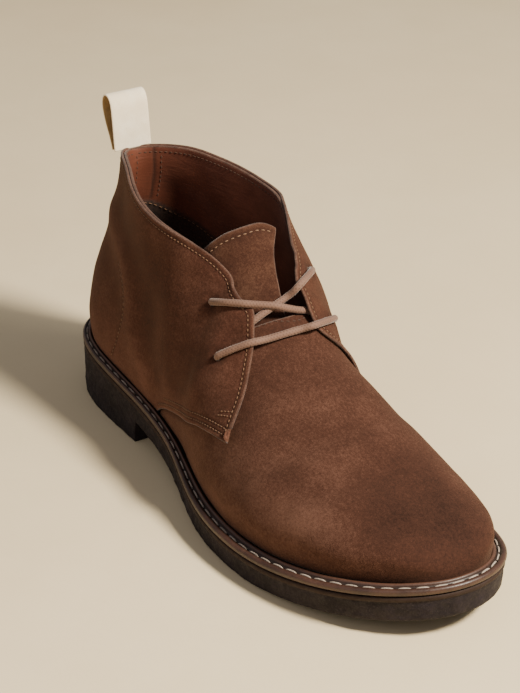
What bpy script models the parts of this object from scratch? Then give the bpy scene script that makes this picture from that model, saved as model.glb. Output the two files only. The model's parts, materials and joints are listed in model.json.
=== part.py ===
# Chukka boot, right foot, standing empty on its sole.
# Working units are millimetres: +X toward the toe, +Y toward the inner (medial)
# side, +Z up.  Everything is written out in metres, centred on the box it fills.
import math

import bpy
import numpy as np

for ob in list(bpy.data.objects):
    bpy.data.objects.remove(ob, do_unlink=True)

MM = 0.001

# ------------------------------------------------------------------ sizes (mm)
HEEL_X = 40.0          # the heel is rounded behind this station
TOE_X = 244.0          # the toe is rounded ahead of this station
WALL_UPPER = 1.6       # vamp and lining
WALL_QUARTER = 1.4     # outer quarter leather
GAP = 0.35             # air between curved layers
WELT_T = 3.5
SOLE_EXT = 5.6         # sole edge outside the upper's plan outline
TUCK = 1.6             # the upper draws in at the feather line
BREAST_X = 80.0        # front face of the heel

# plan outline of the upper at its fullest: (x, y), heel centre round the
# outer side to the toe and back along the inner side
OUTLINE = [(-1, 0), (4, -18.5), (19, -31), (45, -36), (85, -36.2), (125, -40),
           (165, -49), (205, -51.5), (240, -45), (269, -32), (288.5, -14),
           (296, 5), (290.7, 24.8), (272, 39), (240, 46), (205, 45.5),
           (165, 36.5), (125, 29.5), (85, 31.5), (45, 35), (19, 31), (3.5, 18.5)]

# side view: top line of toe, vamp and instep (x, z), toe tip first
RIDGE = [(296.0, 30), (293.5, 36), (287, 42), (270, 47.2), (250, 51.8),
         (228, 57.5), (205, 65.5), (185, 74.5), (172, 82), (160, 92),
         (150, 104), (144, 117), (140, 130), (138, 145)]
# plan view of that line (x, y)
RIDGE_Y = [(-20, 0), (0, 0), (60, 0), (120, 1), (160, 4), (200, 7), (240, 8),
           (275, 7.5)]
# side view of the back seam (x, z)
BACK = [(0.6, 30), (-1.2, 45), (-1.2, 60), (1.2, 76), (5.0, 92), (8.8, 106),
        (11, 118), (10.5, 128), (10, 140)]
# feather line: top of the welt (x, z)
FEATHER = [(-8, 32.6), (30, 31.8), (75, 28.1), (110, 24.1), (150, 18.9),
           (190, 16.5), (220, 16.8), (255, 20.6), (285, 26.0), (305, 30.2)]
# underside of the sole ahead of the heel (x, z)
TREAD = [(80, 12), (100, 9.5), (125, 5.5), (150, 1.8), (170, 0), (190, 0),
         (214, 0), (245, 3.0), (275, 7.4), (305, 12.6)]

# half widths of the quarters, one row per upright section:
#          x     z30   z50   z70   z90   z110   z130
LEVELS = [30, 50, 70, 90, 110, 130]
OUTER_SIDE = [(40, 36.5, 35.5, 31.5, 26.5, 22.5, 19.6),
              (60, 36.8, 36.2, 33.8, 30.5, 27.8, 26.3),
              (80, 36.4, 36.0, 34.3, 31.8, 29.6, 27.8),
              (100, 37.3, 37.0, 35.0, 32.0, 28.2, 23.0),
              (120, 39.5, 39.0, 36.0, 30.5, 21.5, 10.0),
              (134, 42.0, 41.0, 36.5, 27.0, 13.5, -3.0),
              (148, 45.3, 43.5, 36.5, 21.5, 3.0, -18.0),
              (162, 48.5, 45.5, 33.0, 12.0, -14.0, -38.0),
              (176, 50.5, 46.0, 28.0, 0.0, -30.0, -55.0)]
INNER_SIDE = [(40, 35.6, 35.3, 32.6, 29.8, 28.0, 27.4),
              (60, 33.8, 34.4, 33.6, 32.6, 32.8, 34.0),
              (80, 31.8, 33.0, 34.0, 35.0, 36.4, 37.3),
              (100, 30.3, 33.0, 35.0, 36.6, 37.0, 35.2),
              (120, 29.7, 33.5, 36.0, 36.6, 33.5, 24.5),
              (134, 30.5, 34.5, 37.0, 35.8, 28.5, 13.0),
              (148, 33.0, 36.5, 38.0, 33.8, 20.5, 0.0),
              (162, 36.0, 38.2, 36.8, 27.0, 8.0, -15.0),
              (176, 38.0, 38.5, 32.0, 15.0, -8.0, -30.0)]
# how full the vamp sections are: (x, outer side, inner side)
FULLNESS = [(130, 1.6, 2.4), (175, 1.65, 2.4), (205, 1.8, 2.3),
            (240, 2.05, 2.2), (275, 2.2, 2.2), (296, 2.2, 2.2)]

# edges of the quarters in side view (x, z): collar, then the front of the flap
COLLAR_OUT = [(10.6, 127.0), (20, 129.6), (32, 130.6), (45, 129.6), (60, 126.6),
              (80, 123.0), (100, 120.6), (118, 116.6), (134, 109.0),
              (146, 101.0), (154, 93.0), (165, 77.6), (172.6, 67.0),
              (180.4, 51.7)]
COLLAR_IN = [(10.6, 127.0), (20, 128.2), (32, 129.2), (45, 128.8), (60, 127.8),
             (80, 126.3), (100, 125.6), (118, 122.2), (134, 116.8),
             (146, 108.2), (155, 98.5), (162, 86.0), (168, 68.0),
             (172.5, 45.0)]
# lower edge of the flap, from where it leaves the welt to its tip (x, z)
FLAP_FOOT_OUT = [(98, 26.4), (104, 31.0), (114, 35.6), (127, 40.0),
                 (143, 44.9), (159, 49.2), (170, 50.9), (180.4, 51.7)]
FLAP_FOOT_IN = [(92, 27.0), (99, 33.5), (110, 38.4), (122, 40.2),
                (136, 41.0), (155, 43.0), (164, 44.2), (172.5, 45.0)]
# throat edge of the inner shell, collar corner to the seam of the tongue (x, z)
THROAT_OUT = [(112, 116.6), (118, 106.0), (125, 95.0), (133, 86.5),
              (141, 84.5), (148, 86.8), (153, 91.0), (157.5, 94.8)]
THROAT_IN = [(112, 120.4), (117, 108.0), (124, 96.0), (133, 88.0),
             (141, 86.0), (148, 88.0), (153, 91.5), (157.5, 94.8)]
# lace holes (side, x, z)
EYELETS = [(-1, 148.7, 78.3), (-1, 131.6, 97.7), (1, 147.9, 79.7), (1, 134.6, 102.0)]
EYELET_R = 2.1

# tongue, one row per cross section: centre line (x, y, z), arch radius,
# outer and inner edge measured across from the centre line
#          x      y    z      r    out   in
TONGUE = [(166.4, 4.5, 78.8, 36, -17, 7),
          (156.4, 5.0, 88.4, 34, -18.5, 4),
          (148.1, 5.2, 98.5, 31, -20, 3),
          (139.2, 5.5, 110.0, 27, -20.5, 3),
          (130.5, 5.8, 120.8, 25, -20.5, 5),
          (124.0, 6.0, 128.2, 23.5, -21, 8)]
TONGUE_T = 2.0


# ------------------------------------------------------------- smooth curves
def second(xs, ys):
    n = len(xs)
    h = np.diff(xs)
    a = np.zeros((n, n))
    b = np.zeros_like(ys)
    a[0, 0] = a[-1, -1] = 1.0
    s = np.diff(ys, axis=0) / h[:, None]
    for i in range(1, n - 1):
        a[i, i - 1], a[i, i], a[i, i + 1] = h[i - 1], 2 * (h[i - 1] + h[i]), h[i]
        b[i] = 6 * (s[i] - s[i - 1])
    return np.linalg.solve(a, b)


def along(xs, ys, x):
    """natural cubic through (xs, ys) read at x, held at the ends"""
    xs = np.asarray(xs, float)
    ys = np.asarray(ys, float)
    flat = ys.ndim == 1
    if flat:
        ys = ys[:, None]
    m = second(xs, ys)
    x = np.clip(np.ravel(x), xs[0], xs[-1])
    k = np.clip(np.searchsorted(xs, x, side="right") - 1, 0, len(xs) - 2)
    h = (xs[k + 1] - xs[k])[:, None]
    a = (xs[k + 1] - x)[:, None]
    b = (x - xs[k])[:, None]
    v = ((m[k] * a ** 3 + m[k + 1] * b ** 3) / (6 * h)
         + (ys[k] / h - m[k] * h / 6) * a + (ys[k + 1] / h - m[k + 1] * h / 6) * b)
    return v[:, 0] if flat else v


def curve(points, n, closed=False):
    """smooth curve through points, n samples evenly spaced by length"""
    p = np.asarray(points, float)
    if closed:
        p = np.vstack([p[-3:], p, p[:4]])
    t = np.r_[0, np.cumsum(np.linalg.norm(np.diff(p, axis=0), axis=1) ** 0.5)]
    lo, hi = (t[3], t[-4]) if closed else (t[0], t[-1])
    q = along(t, p, np.linspace(lo, hi, 1600))
    s = np.r_[0, np.cumsum(np.linalg.norm(np.diff(q, axis=0), axis=1))]
    u = np.linspace(0, s[-1], n)
    return np.stack([np.interp(u, s, q[:, i]) for i in range(q.shape[1])], 1)


def smooth(a, b, x):
    t = np.clip((x - a) / (b - a), 0, 1)
    return t * t * (3 - 2 * t)


outline = curve(OUTLINE, 2401, True)[:-1]
outline = np.roll(outline, -int(np.argmin(outline[:, 0])), 0)
toe_i = int(np.argmax(outline[:, 0]))
SIDE_PLAN = {-1: outline[:toe_i + 1], 1: np.vstack([outline[toe_i:], outline[:1]])[::-1]}
TIP_X, TIP_Y = outline[toe_i]
ridge = curve(RIDGE, 1500)
back = curve(BACK, 400)
feather_x = np.linspace(-12, 306, 400)
feather_z = along([r[0] for r in FEATHER], [r[1] for r in FEATHER], feather_x)


def feather(x):
    return np.interp(x, feather_x, feather_z)


def ridge_z(x):
    return np.interp(-np.asarray(x), -ridge[:, 0], ridge[:, 1])


ridge_plan = curve(RIDGE_Y + [(TIP_X, TIP_Y), (TIP_X + 20, TIP_Y)], 600)


def ridge_y(x):
    return np.interp(x, ridge_plan[:, 0], ridge_plan[:, 1])


def back_x(z):
    return np.interp(z, back[:, 1], back[:, 0])


def plan_half(x, side):
    a = SIDE_PLAN[side]
    return side * np.interp(x, a[:, 0], a[:, 1])


def table(rows, x, z):
    rows = np.asarray(rows, float)
    wx = along(rows[:, 0], np.eye(len(rows)), x)
    wz = along(LEVELS, np.eye(len(LEVELS)), z)
    return np.einsum("ni,ij,nj->n", wx, rows[:, 1:], wz)


def tuck(z, zm, w):
    return TUCK * np.clip((zm - z) / 10, 0, 1) ** 2 * np.tanh(np.maximum(w, 0) / 8)


def quarter_half(x, z, side):
    """half width of the quarters at station x, height z"""
    x, z = [np.ravel(a).astype(float) for a in np.broadcast_arrays(x, z)]

    def wall(xe):
        rows = OUTER_SIDE if side < 0 else INNER_SIDE
        zm = feather(xe) + 10
        v = table(rows, xe, np.maximum(z, zm))
        t = np.clip((z - zm) / 14, 0, 1)
        return v + (plan_half(xe, side) - table(rows, xe, zm)) * (1 - t) ** 2

    xe = np.clip(x, HEEL_X, 176)
    y = wall(xe)
    at = np.full_like(z, HEEL_X)
    y40 = wall(at)
    depth = HEEL_X - back_x(z)
    q = np.clip((x - back_x(z)) / depth, 0, 1)
    slope = np.clip((wall(at + 1) - y40) * depth / y40, 0, 0.6)
    a = np.interp(z, [40, 70, 100, 125], [1.5, 1.44, 1.24, 1.06])
    c = slope + a - 1.5
    b = 2.5 - 2 * a - slope
    y = np.where(x < HEEL_X, y40 * np.sqrt(q) * (a + b * q + c * q * q), y)
    return y - tuck(z, feather(np.maximum(x, HEEL_X)) + 10, y)


def vamp_half(x, z, side):
    """half width of the vamp, measured from the centre plane"""
    x, z = [np.ravel(a).astype(float) for a in np.broadcast_arrays(x, z)]
    full = np.maximum(plan_half(x, side) - side * ridge_y(x), 0)
    zm = feather(x) + 10
    zm = np.minimum(zm, 0.5 * (feather(x) + ridge_z(x)))
    d = np.clip((z - zm) / np.maximum(ridge_z(x) - zm, 0.5), 0, 1)
    f = np.asarray(FULLNESS)
    p = np.interp(x, f[:, 0], f[:, 1 if side < 0 else 2])
    w = full * np.maximum(1 - d ** p, 0) ** (1 / p)
    return side * ridge_y(x) + w - tuck(z, zm, w) * np.clip(w / 3, 0, 1)


# -------------------------------------------------- a girth coordinate q for x
def q_of(x, z):
    x = np.asarray(x, float)
    z = np.broadcast_to(z, x.shape)
    bx = back_x(z)
    heel = 1 - np.arcsin(np.clip((HEEL_X - x) / (HEEL_X - bx), 0, 1)) * 2 / np.pi
    mid = 1 + (x - HEEL_X) / 70
    qt = 1 + (TOE_X - HEEL_X) / 70
    toe = qt + np.arcsin(np.clip((x - TOE_X) / (TIP_X - TOE_X), 0, 1)) * 2 / np.pi
    return np.where(x < HEEL_X, heel, np.where(x > TOE_X, toe, mid))


def x_of(q, z):
    q = np.asarray(q, float)
    bx = back_x(z)
    qt = 1 + (TOE_X - HEEL_X) / 70
    heel = HEEL_X - (HEEL_X - bx) * np.sin(np.clip(1 - q, 0, 1) * np.pi / 2)
    mid = HEEL_X + (q - 1) * 70
    toe = TOE_X + (TIP_X - TOE_X) * np.sin(np.clip(q - qt, 0, 1) * np.pi / 2)
    return np.where(q < 1, heel, np.where(q > qt, toe, mid))


def paced(xz, n, warp=None):
    """n points along an (x, z) edge, evenly spaced by girth length, as (q, z)"""
    xz = np.asarray(xz, float)
    q = q_of(xz[:, 0], xz[:, 1])
    if xz[0, 0] < HEEL_X:
        q[0] = 0.0
    s = np.r_[0, np.cumsum(np.hypot(np.diff(q) * 68, np.diff(xz[:, 1])))]
    u = np.linspace(0, 1, n) if warp is None else warp
    u = u * s[-1]
    return np.stack([np.interp(u, s, q), np.interp(u, s, xz[:, 1])], 1)


def girth(points_of, bottom, top, rows):
    """grid of (x, z): each column runs from bottom to top, evenly spaced"""
    n = len(bottom)
    x = np.zeros((n, rows))
    z = np.zeros((n, rows))
    v = np.sin(np.linspace(0, 1, 90) * np.pi / 2)
    for i in range(n):
        q = bottom[i, 0] + (top[i, 0] - bottom[i, 0]) * v
        zz = bottom[i, 1] + (top[i, 1] - bottom[i, 1]) * v
        xx = x_of(q, zz)
        p = points_of(xx, zz)
        s = np.r_[0, np.cumsum(np.linalg.norm(np.diff(p, axis=0), axis=1))]
        u = np.linspace(0, s[-1], rows) if s[-1] > 1e-6 else np.zeros(rows)
        z[i] = np.interp(u, s, zz)
        x[i] = x_of(np.interp(u, s, q), z[i])
    return x, z


# ----------------------------------------------------------------- mesh tools
class Skin:
    """two half grids (outer and inner side) welded along shared points"""

    def __init__(self, halves):
        # halves: list of (side, x grid, z grid, position grid)
        keys = {}
        self.index = []
        for _, _, _, p in halves:
            idx = np.zeros(p.shape[:2], int)
            for i in range(p.shape[0]):
                for j in range(p.shape[1]):
                    k = tuple(np.round(p[i, j], 3) + 0.0)
                    idx[i, j] = keys.setdefault(k, len(keys))
            self.index.append(idx)
        self.count = len(keys)
        self.faces = []
        for (side, _, _, p), idx in zip(halves, self.index):
            n, m = idx.shape
            for i in range(n - 1):
                for j in range(m - 1):
                    f = [idx[i, j], idx[i + 1, j], idx[i + 1, j + 1], idx[i, j + 1]]
                    if side > 0:
                        f = f[::-1]
                    g = [v for k, v in enumerate(f) if v != f[k - 1]]
                    if len(set(g)) == len(g) and len(g) > 2:
                        self.faces.append(g)

    def gather(self, grids):
        v = np.zeros((self.count, 3))
        c = np.zeros(self.count)
        for idx, g in zip(self.index, grids):
            np.add.at(v, idx.ravel(), g.reshape(-1, 3))
            np.add.at(c, idx.ravel(), 1)
        return v / c[:, None]

    def spread(self, v):
        return [v[idx] for idx in self.index]

    def normals(self, v):
        n = np.zeros_like(v)
        for f in self.faces:
            p = v[f]
            c = np.zeros(3)
            for k in range(len(f)):
                c += np.cross(p[k - 1], p[k])
            n[f] += c
        return n / np.maximum(np.linalg.norm(n, axis=1), 1e-9)[:, None]

    def shell(self, out, inn):
        """closed body between two skins"""
        edges = {}
        for f in self.faces:
            for k in range(len(f)):
                edges[(f[k - 1], f[k])] = 1
        rim = [e for e in edges if (e[1], e[0]) not in edges]
        n = self.count
        faces = [list(f) for f in self.faces]
        faces += [[v + n for v in f[::-1]] for f in self.faces]
        faces += [[b, a, a + n, b + n] for a, b in rim]
        return np.vstack([out, inn]), faces


def solid(name, verts, faces, mat, is_mm=True):
    me = bpy.data.meshes.new(name)
    used = sorted({i for f in faces for i in f})
    remap = {v: i for i, v in enumerate(used)}
    verts = np.asarray(verts, float)[used]
    me.from_pydata([tuple(p * MM) for p in verts], [],
                   [[remap[i] for i in f] for f in faces])
    me.validate()
    me.update()
    ob = bpy.data.objects.new(name, me)
    bpy.context.scene.collection.objects.link(ob)
    me.materials.append(mat)
    return ob


def material(name, colour, rough, coat=0.0):
    m = bpy.data.materials.new(name)
    m.use_nodes = True
    b = m.node_tree.nodes["Principled BSDF"]
    b.inputs["Base Color"].default_value = (*colour, 1)
    b.inputs["Roughness"].default_value = rough
    b.inputs["Coat Weight"].default_value = coat
    return m


SUEDE = material("suede_brown", (0.118, 0.052, 0.026), 0.9)
VAMP = material("suede_vamp", (0.128, 0.055, 0.027), 0.9)
TONGUE_M = material("suede_tongue", (0.110, 0.050, 0.028), 0.9)
RUBBER = material("rubber_sole", (0.040, 0.031, 0.029), 0.75)
WELT_M = material("leather_welt", (0.135, 0.052, 0.026), 0.5)
INSOLE_M = material("leather_insole", (0.085, 0.024, 0.013), 0.6)
CORD = material("cord_taupe", (0.270, 0.175, 0.125), 0.8)
STRAP = material("strap_cream", (0.560, 0.490, 0.390), 0.85)

parts = []

# ------------------------------------------- sole pieces stacked from outlines
STATIONS = 21


def ring(off, dz, base, tread=False):
    """closed plan loop at an offset from the upper's outline; rows share x"""
    d = np.roll(outline, -1, 0) - np.roll(outline, 1, 0)
    d /= np.linalg.norm(d, axis=1)[:, None]
    o = outline + np.stack([d[:, 1], -d[:, 0]], 1) * off
    a = int(np.argmin(o[:, 0]))
    o = np.roll(o, -a, 0)
    b = int(np.argmax(o[:, 0]))
    lat, med = o[:b + 1], np.vstack([o[b:], o[:1]])[::-1]
    x0, x1 = o[0, 0], o[b, 0]
    heel = x0 + (BREAST_X - x0) * np.r_[0, 1 - np.cos(np.linspace(0, 1, 8)[1:] * np.pi / 2)]
    waist = np.linspace(BREAST_X + 1.6, 170, 7)
    ball = np.array([184, 199, 214.0])
    toe = 214 + (x1 - 214) * np.sin(np.linspace(0, 1, 9)[1:] * np.pi / 2)
    x = np.r_[heel, waist, ball, toe]
    yl = np.interp(x, np.maximum.accumulate(lat[:, 0]), lat[:, 1])
    ym = np.interp(x, np.maximum.accumulate(med[:, 0]), med[:, 1])
    z = base(x) + dz
    p = [(x[i], yl[i], z[i]) for i in range(len(x))]
    p += [(x[i], ym[i], z[i]) for i in range(len(x) - 2, 0, -1)]
    return p, len(x)


def stack(name, rings, mat, hollow=False):
    loops = [r[0] for r in rings]
    n, k = len(loops[0]), rings[0][1]
    verts = [p for lp in loops for p in lp]
    faces = []
    m = len(loops)
    for j in range(m if hollow else m - 1):
        j2 = (j + 1) % m
        for i in range(n):
            i2 = (i + 1) % n
            faces.append([j * n + i, j * n + i2, j2 * n + i2, j2 * n + i])
    if not hollow:
        for base, flip in ((0, True), ((m - 1) * n, False)):
            for i in range(k - 1):
                a, b = base + i, base + i + 1
                c, d = base + (n - i - 1) % n, base + (n - i) % n
                f = [a, b] + ([c] if c != b else []) + ([d] if d != a else [])
                f = [a, b, c, d]
                g = [v for q, v in enumerate(f) if v != f[q - 1]]
                faces.append(g[::-1] if flip else g)
    ob = solid(name, verts, faces, mat)
    parts.append(ob)
    return ob


def tread_z(x):
    t = np.asarray(TREAD, float)
    z = np.maximum(along(t[:, 0], t[:, 1], x), 0)
    z = np.where((x >= 169.9) & (x <= 214.1), 0, z)
    return np.where(x <= BREAST_X + 0.01, 0, z)


def sole_top(x):
    return feather(x) - WELT_T - GAP


stack("outsole", [
    ring(SOLE_EXT - 2.2, 0.0, tread_z),
    ring(SOLE_EXT - 1.2, 0.0, lambda x: tread_z(x) + 1.2),
    ring(SOLE_EXT - 0.6, 0.0, lambda x: 0.5 * (tread_z(x) + sole_top(x))),
    ring(SOLE_EXT - 0.5, -2.4, sole_top),
    ring(SOLE_EXT, -1.8, sole_top),
    ring(SOLE_EXT, -0.4, sole_top),
    ring(SOLE_EXT - 0.6, 0.0, sole_top)], RUBBER)

stack("welt", [
    ring(-5.6, -WELT_T, feather), ring(SOLE_EXT - 0.6, -WELT_T, feather),
    ring(SOLE_EXT + 0.3, -WELT_T + 0.9, feather), ring(SOLE_EXT + 0.3, -0.9, feather),
    ring(SOLE_EXT - 0.5, -0.1, feather), ring(SOLE_EXT - 3.4, -0.1, feather),
    ring(-0.2, 0.0, feather), ring(-5.6, 0.0, feather)], WELT_M, hollow=True)

stack("insole", [
    ring(-6.6, -WELT_T, feather), ring(-6.6, 0.35, feather),
    ring(-6.1, 0.35, feather), ring(-6.1, 2.4, feather),
    ring(-6.9, 2.95, feather)], INSOLE_M)


# --------------------------------------------------- upper: hollow inner shell
def vamp_mix(x):
    return smooth(132, 156, x)


def half_points(x, z, side, fn):
    return np.stack([x, side * fn(x, z, side).reshape(x.shape), z], -1)


def upper_grids(cols_back, cols_front, rows):
    halves = []
    for side, collar, throat in ((-1, COLLAR_OUT, THROAT_OUT), (1, COLLAR_IN, THROAT_IN)):
        c = curve(collar, 500)
        c = c[c[:, 0] < 110]
        t = curve(throat, 160)
        top_a = np.vstack([c - [0, 0.45], t])
        uz = float(ridge_z(t[-1, 0]))
        top_a[-1, 1] = uz
        bx = np.linspace(0, 1, 200)
        zb = feather(BACK[0][0]) + GAP
        qa = q_of(np.array([t[-1, 0]]), feather(t[-1, 0]))[0]
        qq = np.linspace(0, qa, 300)
        xx = x_of(qq, np.full_like(qq, zb))
        bot_a = np.stack([xx, feather(xx) + GAP], 1)
        r = ridge[ridge[:, 0] >= t[-1, 0]][::-1]
        top_b = np.vstack([[t[-1, 0], uz], r])
        xx = x_of(np.linspace(qa, q_of(np.array([TIP_X]), 30)[0], 300), np.full(300, 30.0))
        bot_b = np.stack([xx, feather(xx) + GAP], 1)
        b1, t1 = paced(bot_a, cols_back), paced(top_a, cols_back)
        b2, t2 = paced(bot_b, cols_front), paced(top_b, cols_front)
        # keep vamp sections upright: follow the station of the lower edge
        t2[:, 0] = 0.65 * t2[:, 0] + 0.35 * b2[:, 0]
        t2[:, 1] = ridge_z(x_of(t2[:, 0], t2[:, 1]))
        t2[0], t2[-1] = t1[-1], (q_of(np.array([TIP_X]), 30)[0], RIDGE[0][1])
        bottom = np.vstack([b1, b2[1:]])
        top = np.vstack([t1, t2[1:]])
        pts = lambda a, b, s=side: half_points(a, b, s, lambda p, q, w: (
            (1 - vamp_mix(p)) * quarter_half(p, q, w) + vamp_mix(p) * vamp_half(p, q, w)))
        x, z = girth(pts, bottom, top, rows)
        halves.append((side, x, z))
    return halves


def upper_skin(halves):
    first = []
    for side, x, z in halves:
        q = quarter_half(x, z, side).reshape(x.shape)
        v = vamp_half(x, z, side).reshape(x.shape)
        w = vamp_mix(x)
        y = side * ((1 - w) * q + w * v)
        first.append((side, x, z, np.stack([x, y, z], -1)))
    skin = Skin(first)
    base = skin.gather([h[3] for h in first])
    nrm = skin.normals(base)
    w = np.zeros(skin.count)
    for idx, (side, x, z) in zip(skin.index, halves):
        w[idx] = vamp_mix(x)
    # behind the vamp this shell is the lining of the quarters
    base = base - nrm * ((1 - w) * (WALL_QUARTER + GAP + 0.25))[:, None]
    return skin, base


U_BACK, U_FRONT, U_ROWS = 27, 21, 13
halves = upper_grids(U_BACK, U_FRONT, U_ROWS)
skin, out = upper_skin(halves)
nrm = skin.normals(out)
v, f = skin.shell(out, out - nrm * WALL_UPPER)
parts.append(solid("upper", v, f, VAMP))

# ------------------------------------------- quarters: flaps that stand proud
Q_COLS, Q_ROWS = 34, 11


def quarter_skin(cols, rows):
    halves = []
    for side, collar, foot in ((-1, COLLAR_OUT, FLAP_FOOT_OUT), (1, COLLAR_IN, FLAP_FOOT_IN)):
        top = paced(curve(collar, 900), cols)
        ft = curve(foot, 400)
        qa = float(q_of(np.array([ft[0, 0]]), feather(ft[0, 0]))[0])
        xx = x_of(np.linspace(0, qa, 300), np.full(300, feather(0.0)))
        lead = np.stack([xx, feather(xx) + GAP], 1)
        bottom = paced(np.vstack([lead, ft]), cols)
        pts = lambda a, b, s=side: half_points(a, b, s, quarter_half)
        x, z = girth(pts, bottom, top, rows)
        halves.append((side, x, z))
    first = [(s, x, z, half_points(x, z, s, quarter_half)) for s, x, z in halves]
    skin = Skin(first)
    q = skin.gather([h[3] for h in first])
    nrm = skin.normals(q)
    w = np.zeros(skin.count)
    side_of = np.zeros(skin.count)
    for idx, (s, x, z) in zip(skin.index, halves):
        w[idx] = vamp_mix(x)
        side_of[idx] = s
    lining = q - nrm * (WALL_QUARTER + GAP)
    vm = skin.gather([half_points(x, z, s, vamp_half) for s, x, z in halves])
    under = lining * (1 - w)[:, None] + vm * w[:, None]
    un = skin.normals(under)
    over = under + un * (WALL_QUARTER + GAP + 0.15 + 2.4 * w * (1 - w))[:, None]
    lift = np.clip((q[:, 1] - over[:, 1]) * side_of, 0, None) * w
    over[:, 1] += lift * side_of
    return skin, over, halves


skin, over, q_halves = quarter_skin(Q_COLS, Q_ROWS)
nrm = skin.normals(over)
v, f = skin.shell(over, over - nrm * WALL_QUARTER)
quarters = solid("quarters", v, f, SUEDE)


def quarter_point(side, x, z):
    """point and outward direction on the outer face of the quarters"""
    idx = 0 if side < 0 else 1
    _, gx, gz = q_halves[idx]
    d = ((gx - x) ** 2 + (gz - z) ** 2).ravel()
    near = np.argsort(d)[:9]
    ids = skin.index[idx].ravel()[near]
    wt = 1 / (d[near] + 2.0)
    p = over[ids]
    m = np.stack([np.ones(9), p[:, 0] - x, p[:, 2] - z], 1)
    fit = np.linalg.lstsq(m * wt[:, None], p[:, 1] * wt, rcond=None)[0]
    n = np.array([-fit[1], 1.0, -fit[2]]) * side
    return np.array([x, fit[0], z]), n / np.linalg.norm(n)


def drum(centre, axis, radius, half, sides, name):
    axis = axis / np.linalg.norm(axis)
    u = np.cross(axis, [0, 0, 1.0])
    u /= np.linalg.norm(u)
    w = np.cross(axis, u)
    vs = []
    for e in (-half, half):
        for i in range(sides):
            a = 2 * math.pi * (i + 0.5) / sides
            vs.append(centre + axis * e + (u * math.cos(a) + w * math.sin(a)) * radius)
    fs = [[i, (i + 1) % sides, (i + 1) % sides + sides, i + sides] for i in range(sides)]
    fs += [list(range(sides))[::-1], [i + sides for i in range(sides)]]
    ob = solid(name, vs, fs, SUEDE)
    ob.display_type = "WIRE"
    ob.hide_render = True
    return ob


eyelet_at = []
for i, (side, x, z) in enumerate(EYELETS):
    p, n = quarter_point(side, x, z)
    eyelet_at.append((p, n))
    cut = drum(p - n * WALL_QUARTER * 0.5, n, EYELET_R, 3.0, 12, "cut_eyelet_%d" % (i + 1))
    mod = quarters.modifiers.new("eyelet_%d" % (i + 1), "BOOLEAN")
    mod.operation = "DIFFERENCE"
    mod.solver = "EXACT"
    mod.object = cut
parts.append(quarters)

# ------------------------------------------------------------------- tongue
T_ROWS, T_COLS = 15, 13
rows_t = curve(TONGUE, T_ROWS)
centre = rows_t[:, :3]
d = np.gradient(centre, axis=0)
d /= np.linalg.norm(d, axis=1)[:, None]
grid = np.zeros((T_ROWS, T_COLS, 3))
for i in range(T_ROWS):
    x, y, z, r, a, b = rows_t[i]
    n = np.cross(d[i], [0, 1.0, 0])
    n /= np.linalg.norm(n)
    if n[2] < 0:
        n = -n
    t = np.linspace(-1, 1, T_COLS)
    top = smooth(0.72, 1.0, i / (T_ROWS - 1.0))
    for j in range(T_COLS):
        dy = a + (b - a) * (t[j] + 1) / 2
        drop = r - math.sqrt(r * r - dy * dy)
        # rounded top corners
        back_off = top * 9.0 * max(0.0, abs(t[j]) - 0.35) ** 2
        grid[i, j] = centre[i] + [0, dy, 0] - n * drop - d[i] * back_off


def sheet_body(g, thick):
    n, m = g.shape[:2]
    du = np.gradient(g, axis=0)
    dv = np.gradient(g, axis=1)
    nn = np.cross(du, dv)
    nn /= np.linalg.norm(nn, axis=-1)[..., None]
    if nn[n // 2, m // 2, 2] < 0:
        nn = -nn
    a, b = g + nn * thick / 2, g - nn * thick / 2
    vs = np.vstack([a.reshape(-1, 3), b.reshape(-1, 3)])
    k = n * m
    fs = []
    for i in range(n - 1):
        for j in range(m - 1):
            f = [i * m + j, (i + 1) * m + j, (i + 1) * m + j + 1, i * m + j + 1]
            fs.append(f)
            fs.append([v + k for v in f[::-1]])
    rim = [(i, 0) for i in range(n)] + [(n - 1, j) for j in range(1, m)]
    rim += [(i, m - 1) for i in range(n - 2, -1, -1)] + [(0, j) for j in range(m - 2, 0, -1)]
    for q in range(len(rim)):
        p0, p1 = rim[q], rim[(q + 1) % len(rim)]
        i0, i1 = p0[0] * m + p0[1], p1[0] * m + p1[1]
        fs.append([i1, i0, i0 + k, i1 + k])
    # make the body face outwards
    vol = 0.0
    for f in fs:
        for q in range(1, len(f) - 1):
            vol += np.dot(vs[f[0]], np.cross(vs[f[q]], vs[f[q + 1]]))
    if vol < 0:
        fs = [f[::-1] for f in fs]
    return vs, fs


v, f = sheet_body(grid, TONGUE_T)
parts.append(solid("tongue", v, f, TONGUE_M))


# --------------------------------------------------------------------- laces
CORD_R = 1.5


def cord(points, radius, n, sides=8):
    c = curve(points, n)
    t = np.gradient(c, axis=0)
    t /= np.linalg.norm(t, axis=1)[:, None]
    ref = np.array([0, 0, 1.0])
    vs, fs = [], []
    for i in range(n):
        u = np.cross(t[i], ref)
        u /= np.linalg.norm(u)
        w = np.cross(u, t[i])
        for k in range(sides):
            a = 2 * math.pi * k / sides
            vs.append(c[i] + (u * math.cos(a) + w * math.sin(a)) * radius)
    for i in range(n - 1):
        for k in range(sides):
            k2 = (k + 1) % sides
            fs.append([i * sides + k, (i + 1) * sides + k, (i + 1) * sides + k2, i * sides + k2])
    fs.append(list(range(sides)))
    fs.append([(n - 1) * sides + k for k in range(sides)][::-1])
    vol = 0.0
    for f in fs:
        for q in range(1, len(f) - 1):
            vol += np.dot(vs[f[0]], np.cross(vs[f[q]], vs[f[q + 1]]))
    if vol < 0:
        fs = [f[::-1] for f in fs]
    return vs, fs


(eyA, nA), (eyB, nB), (eyC, nC), (eyD, nD) = eyelet_at
LIFT = CORD_R + 0.6
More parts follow.
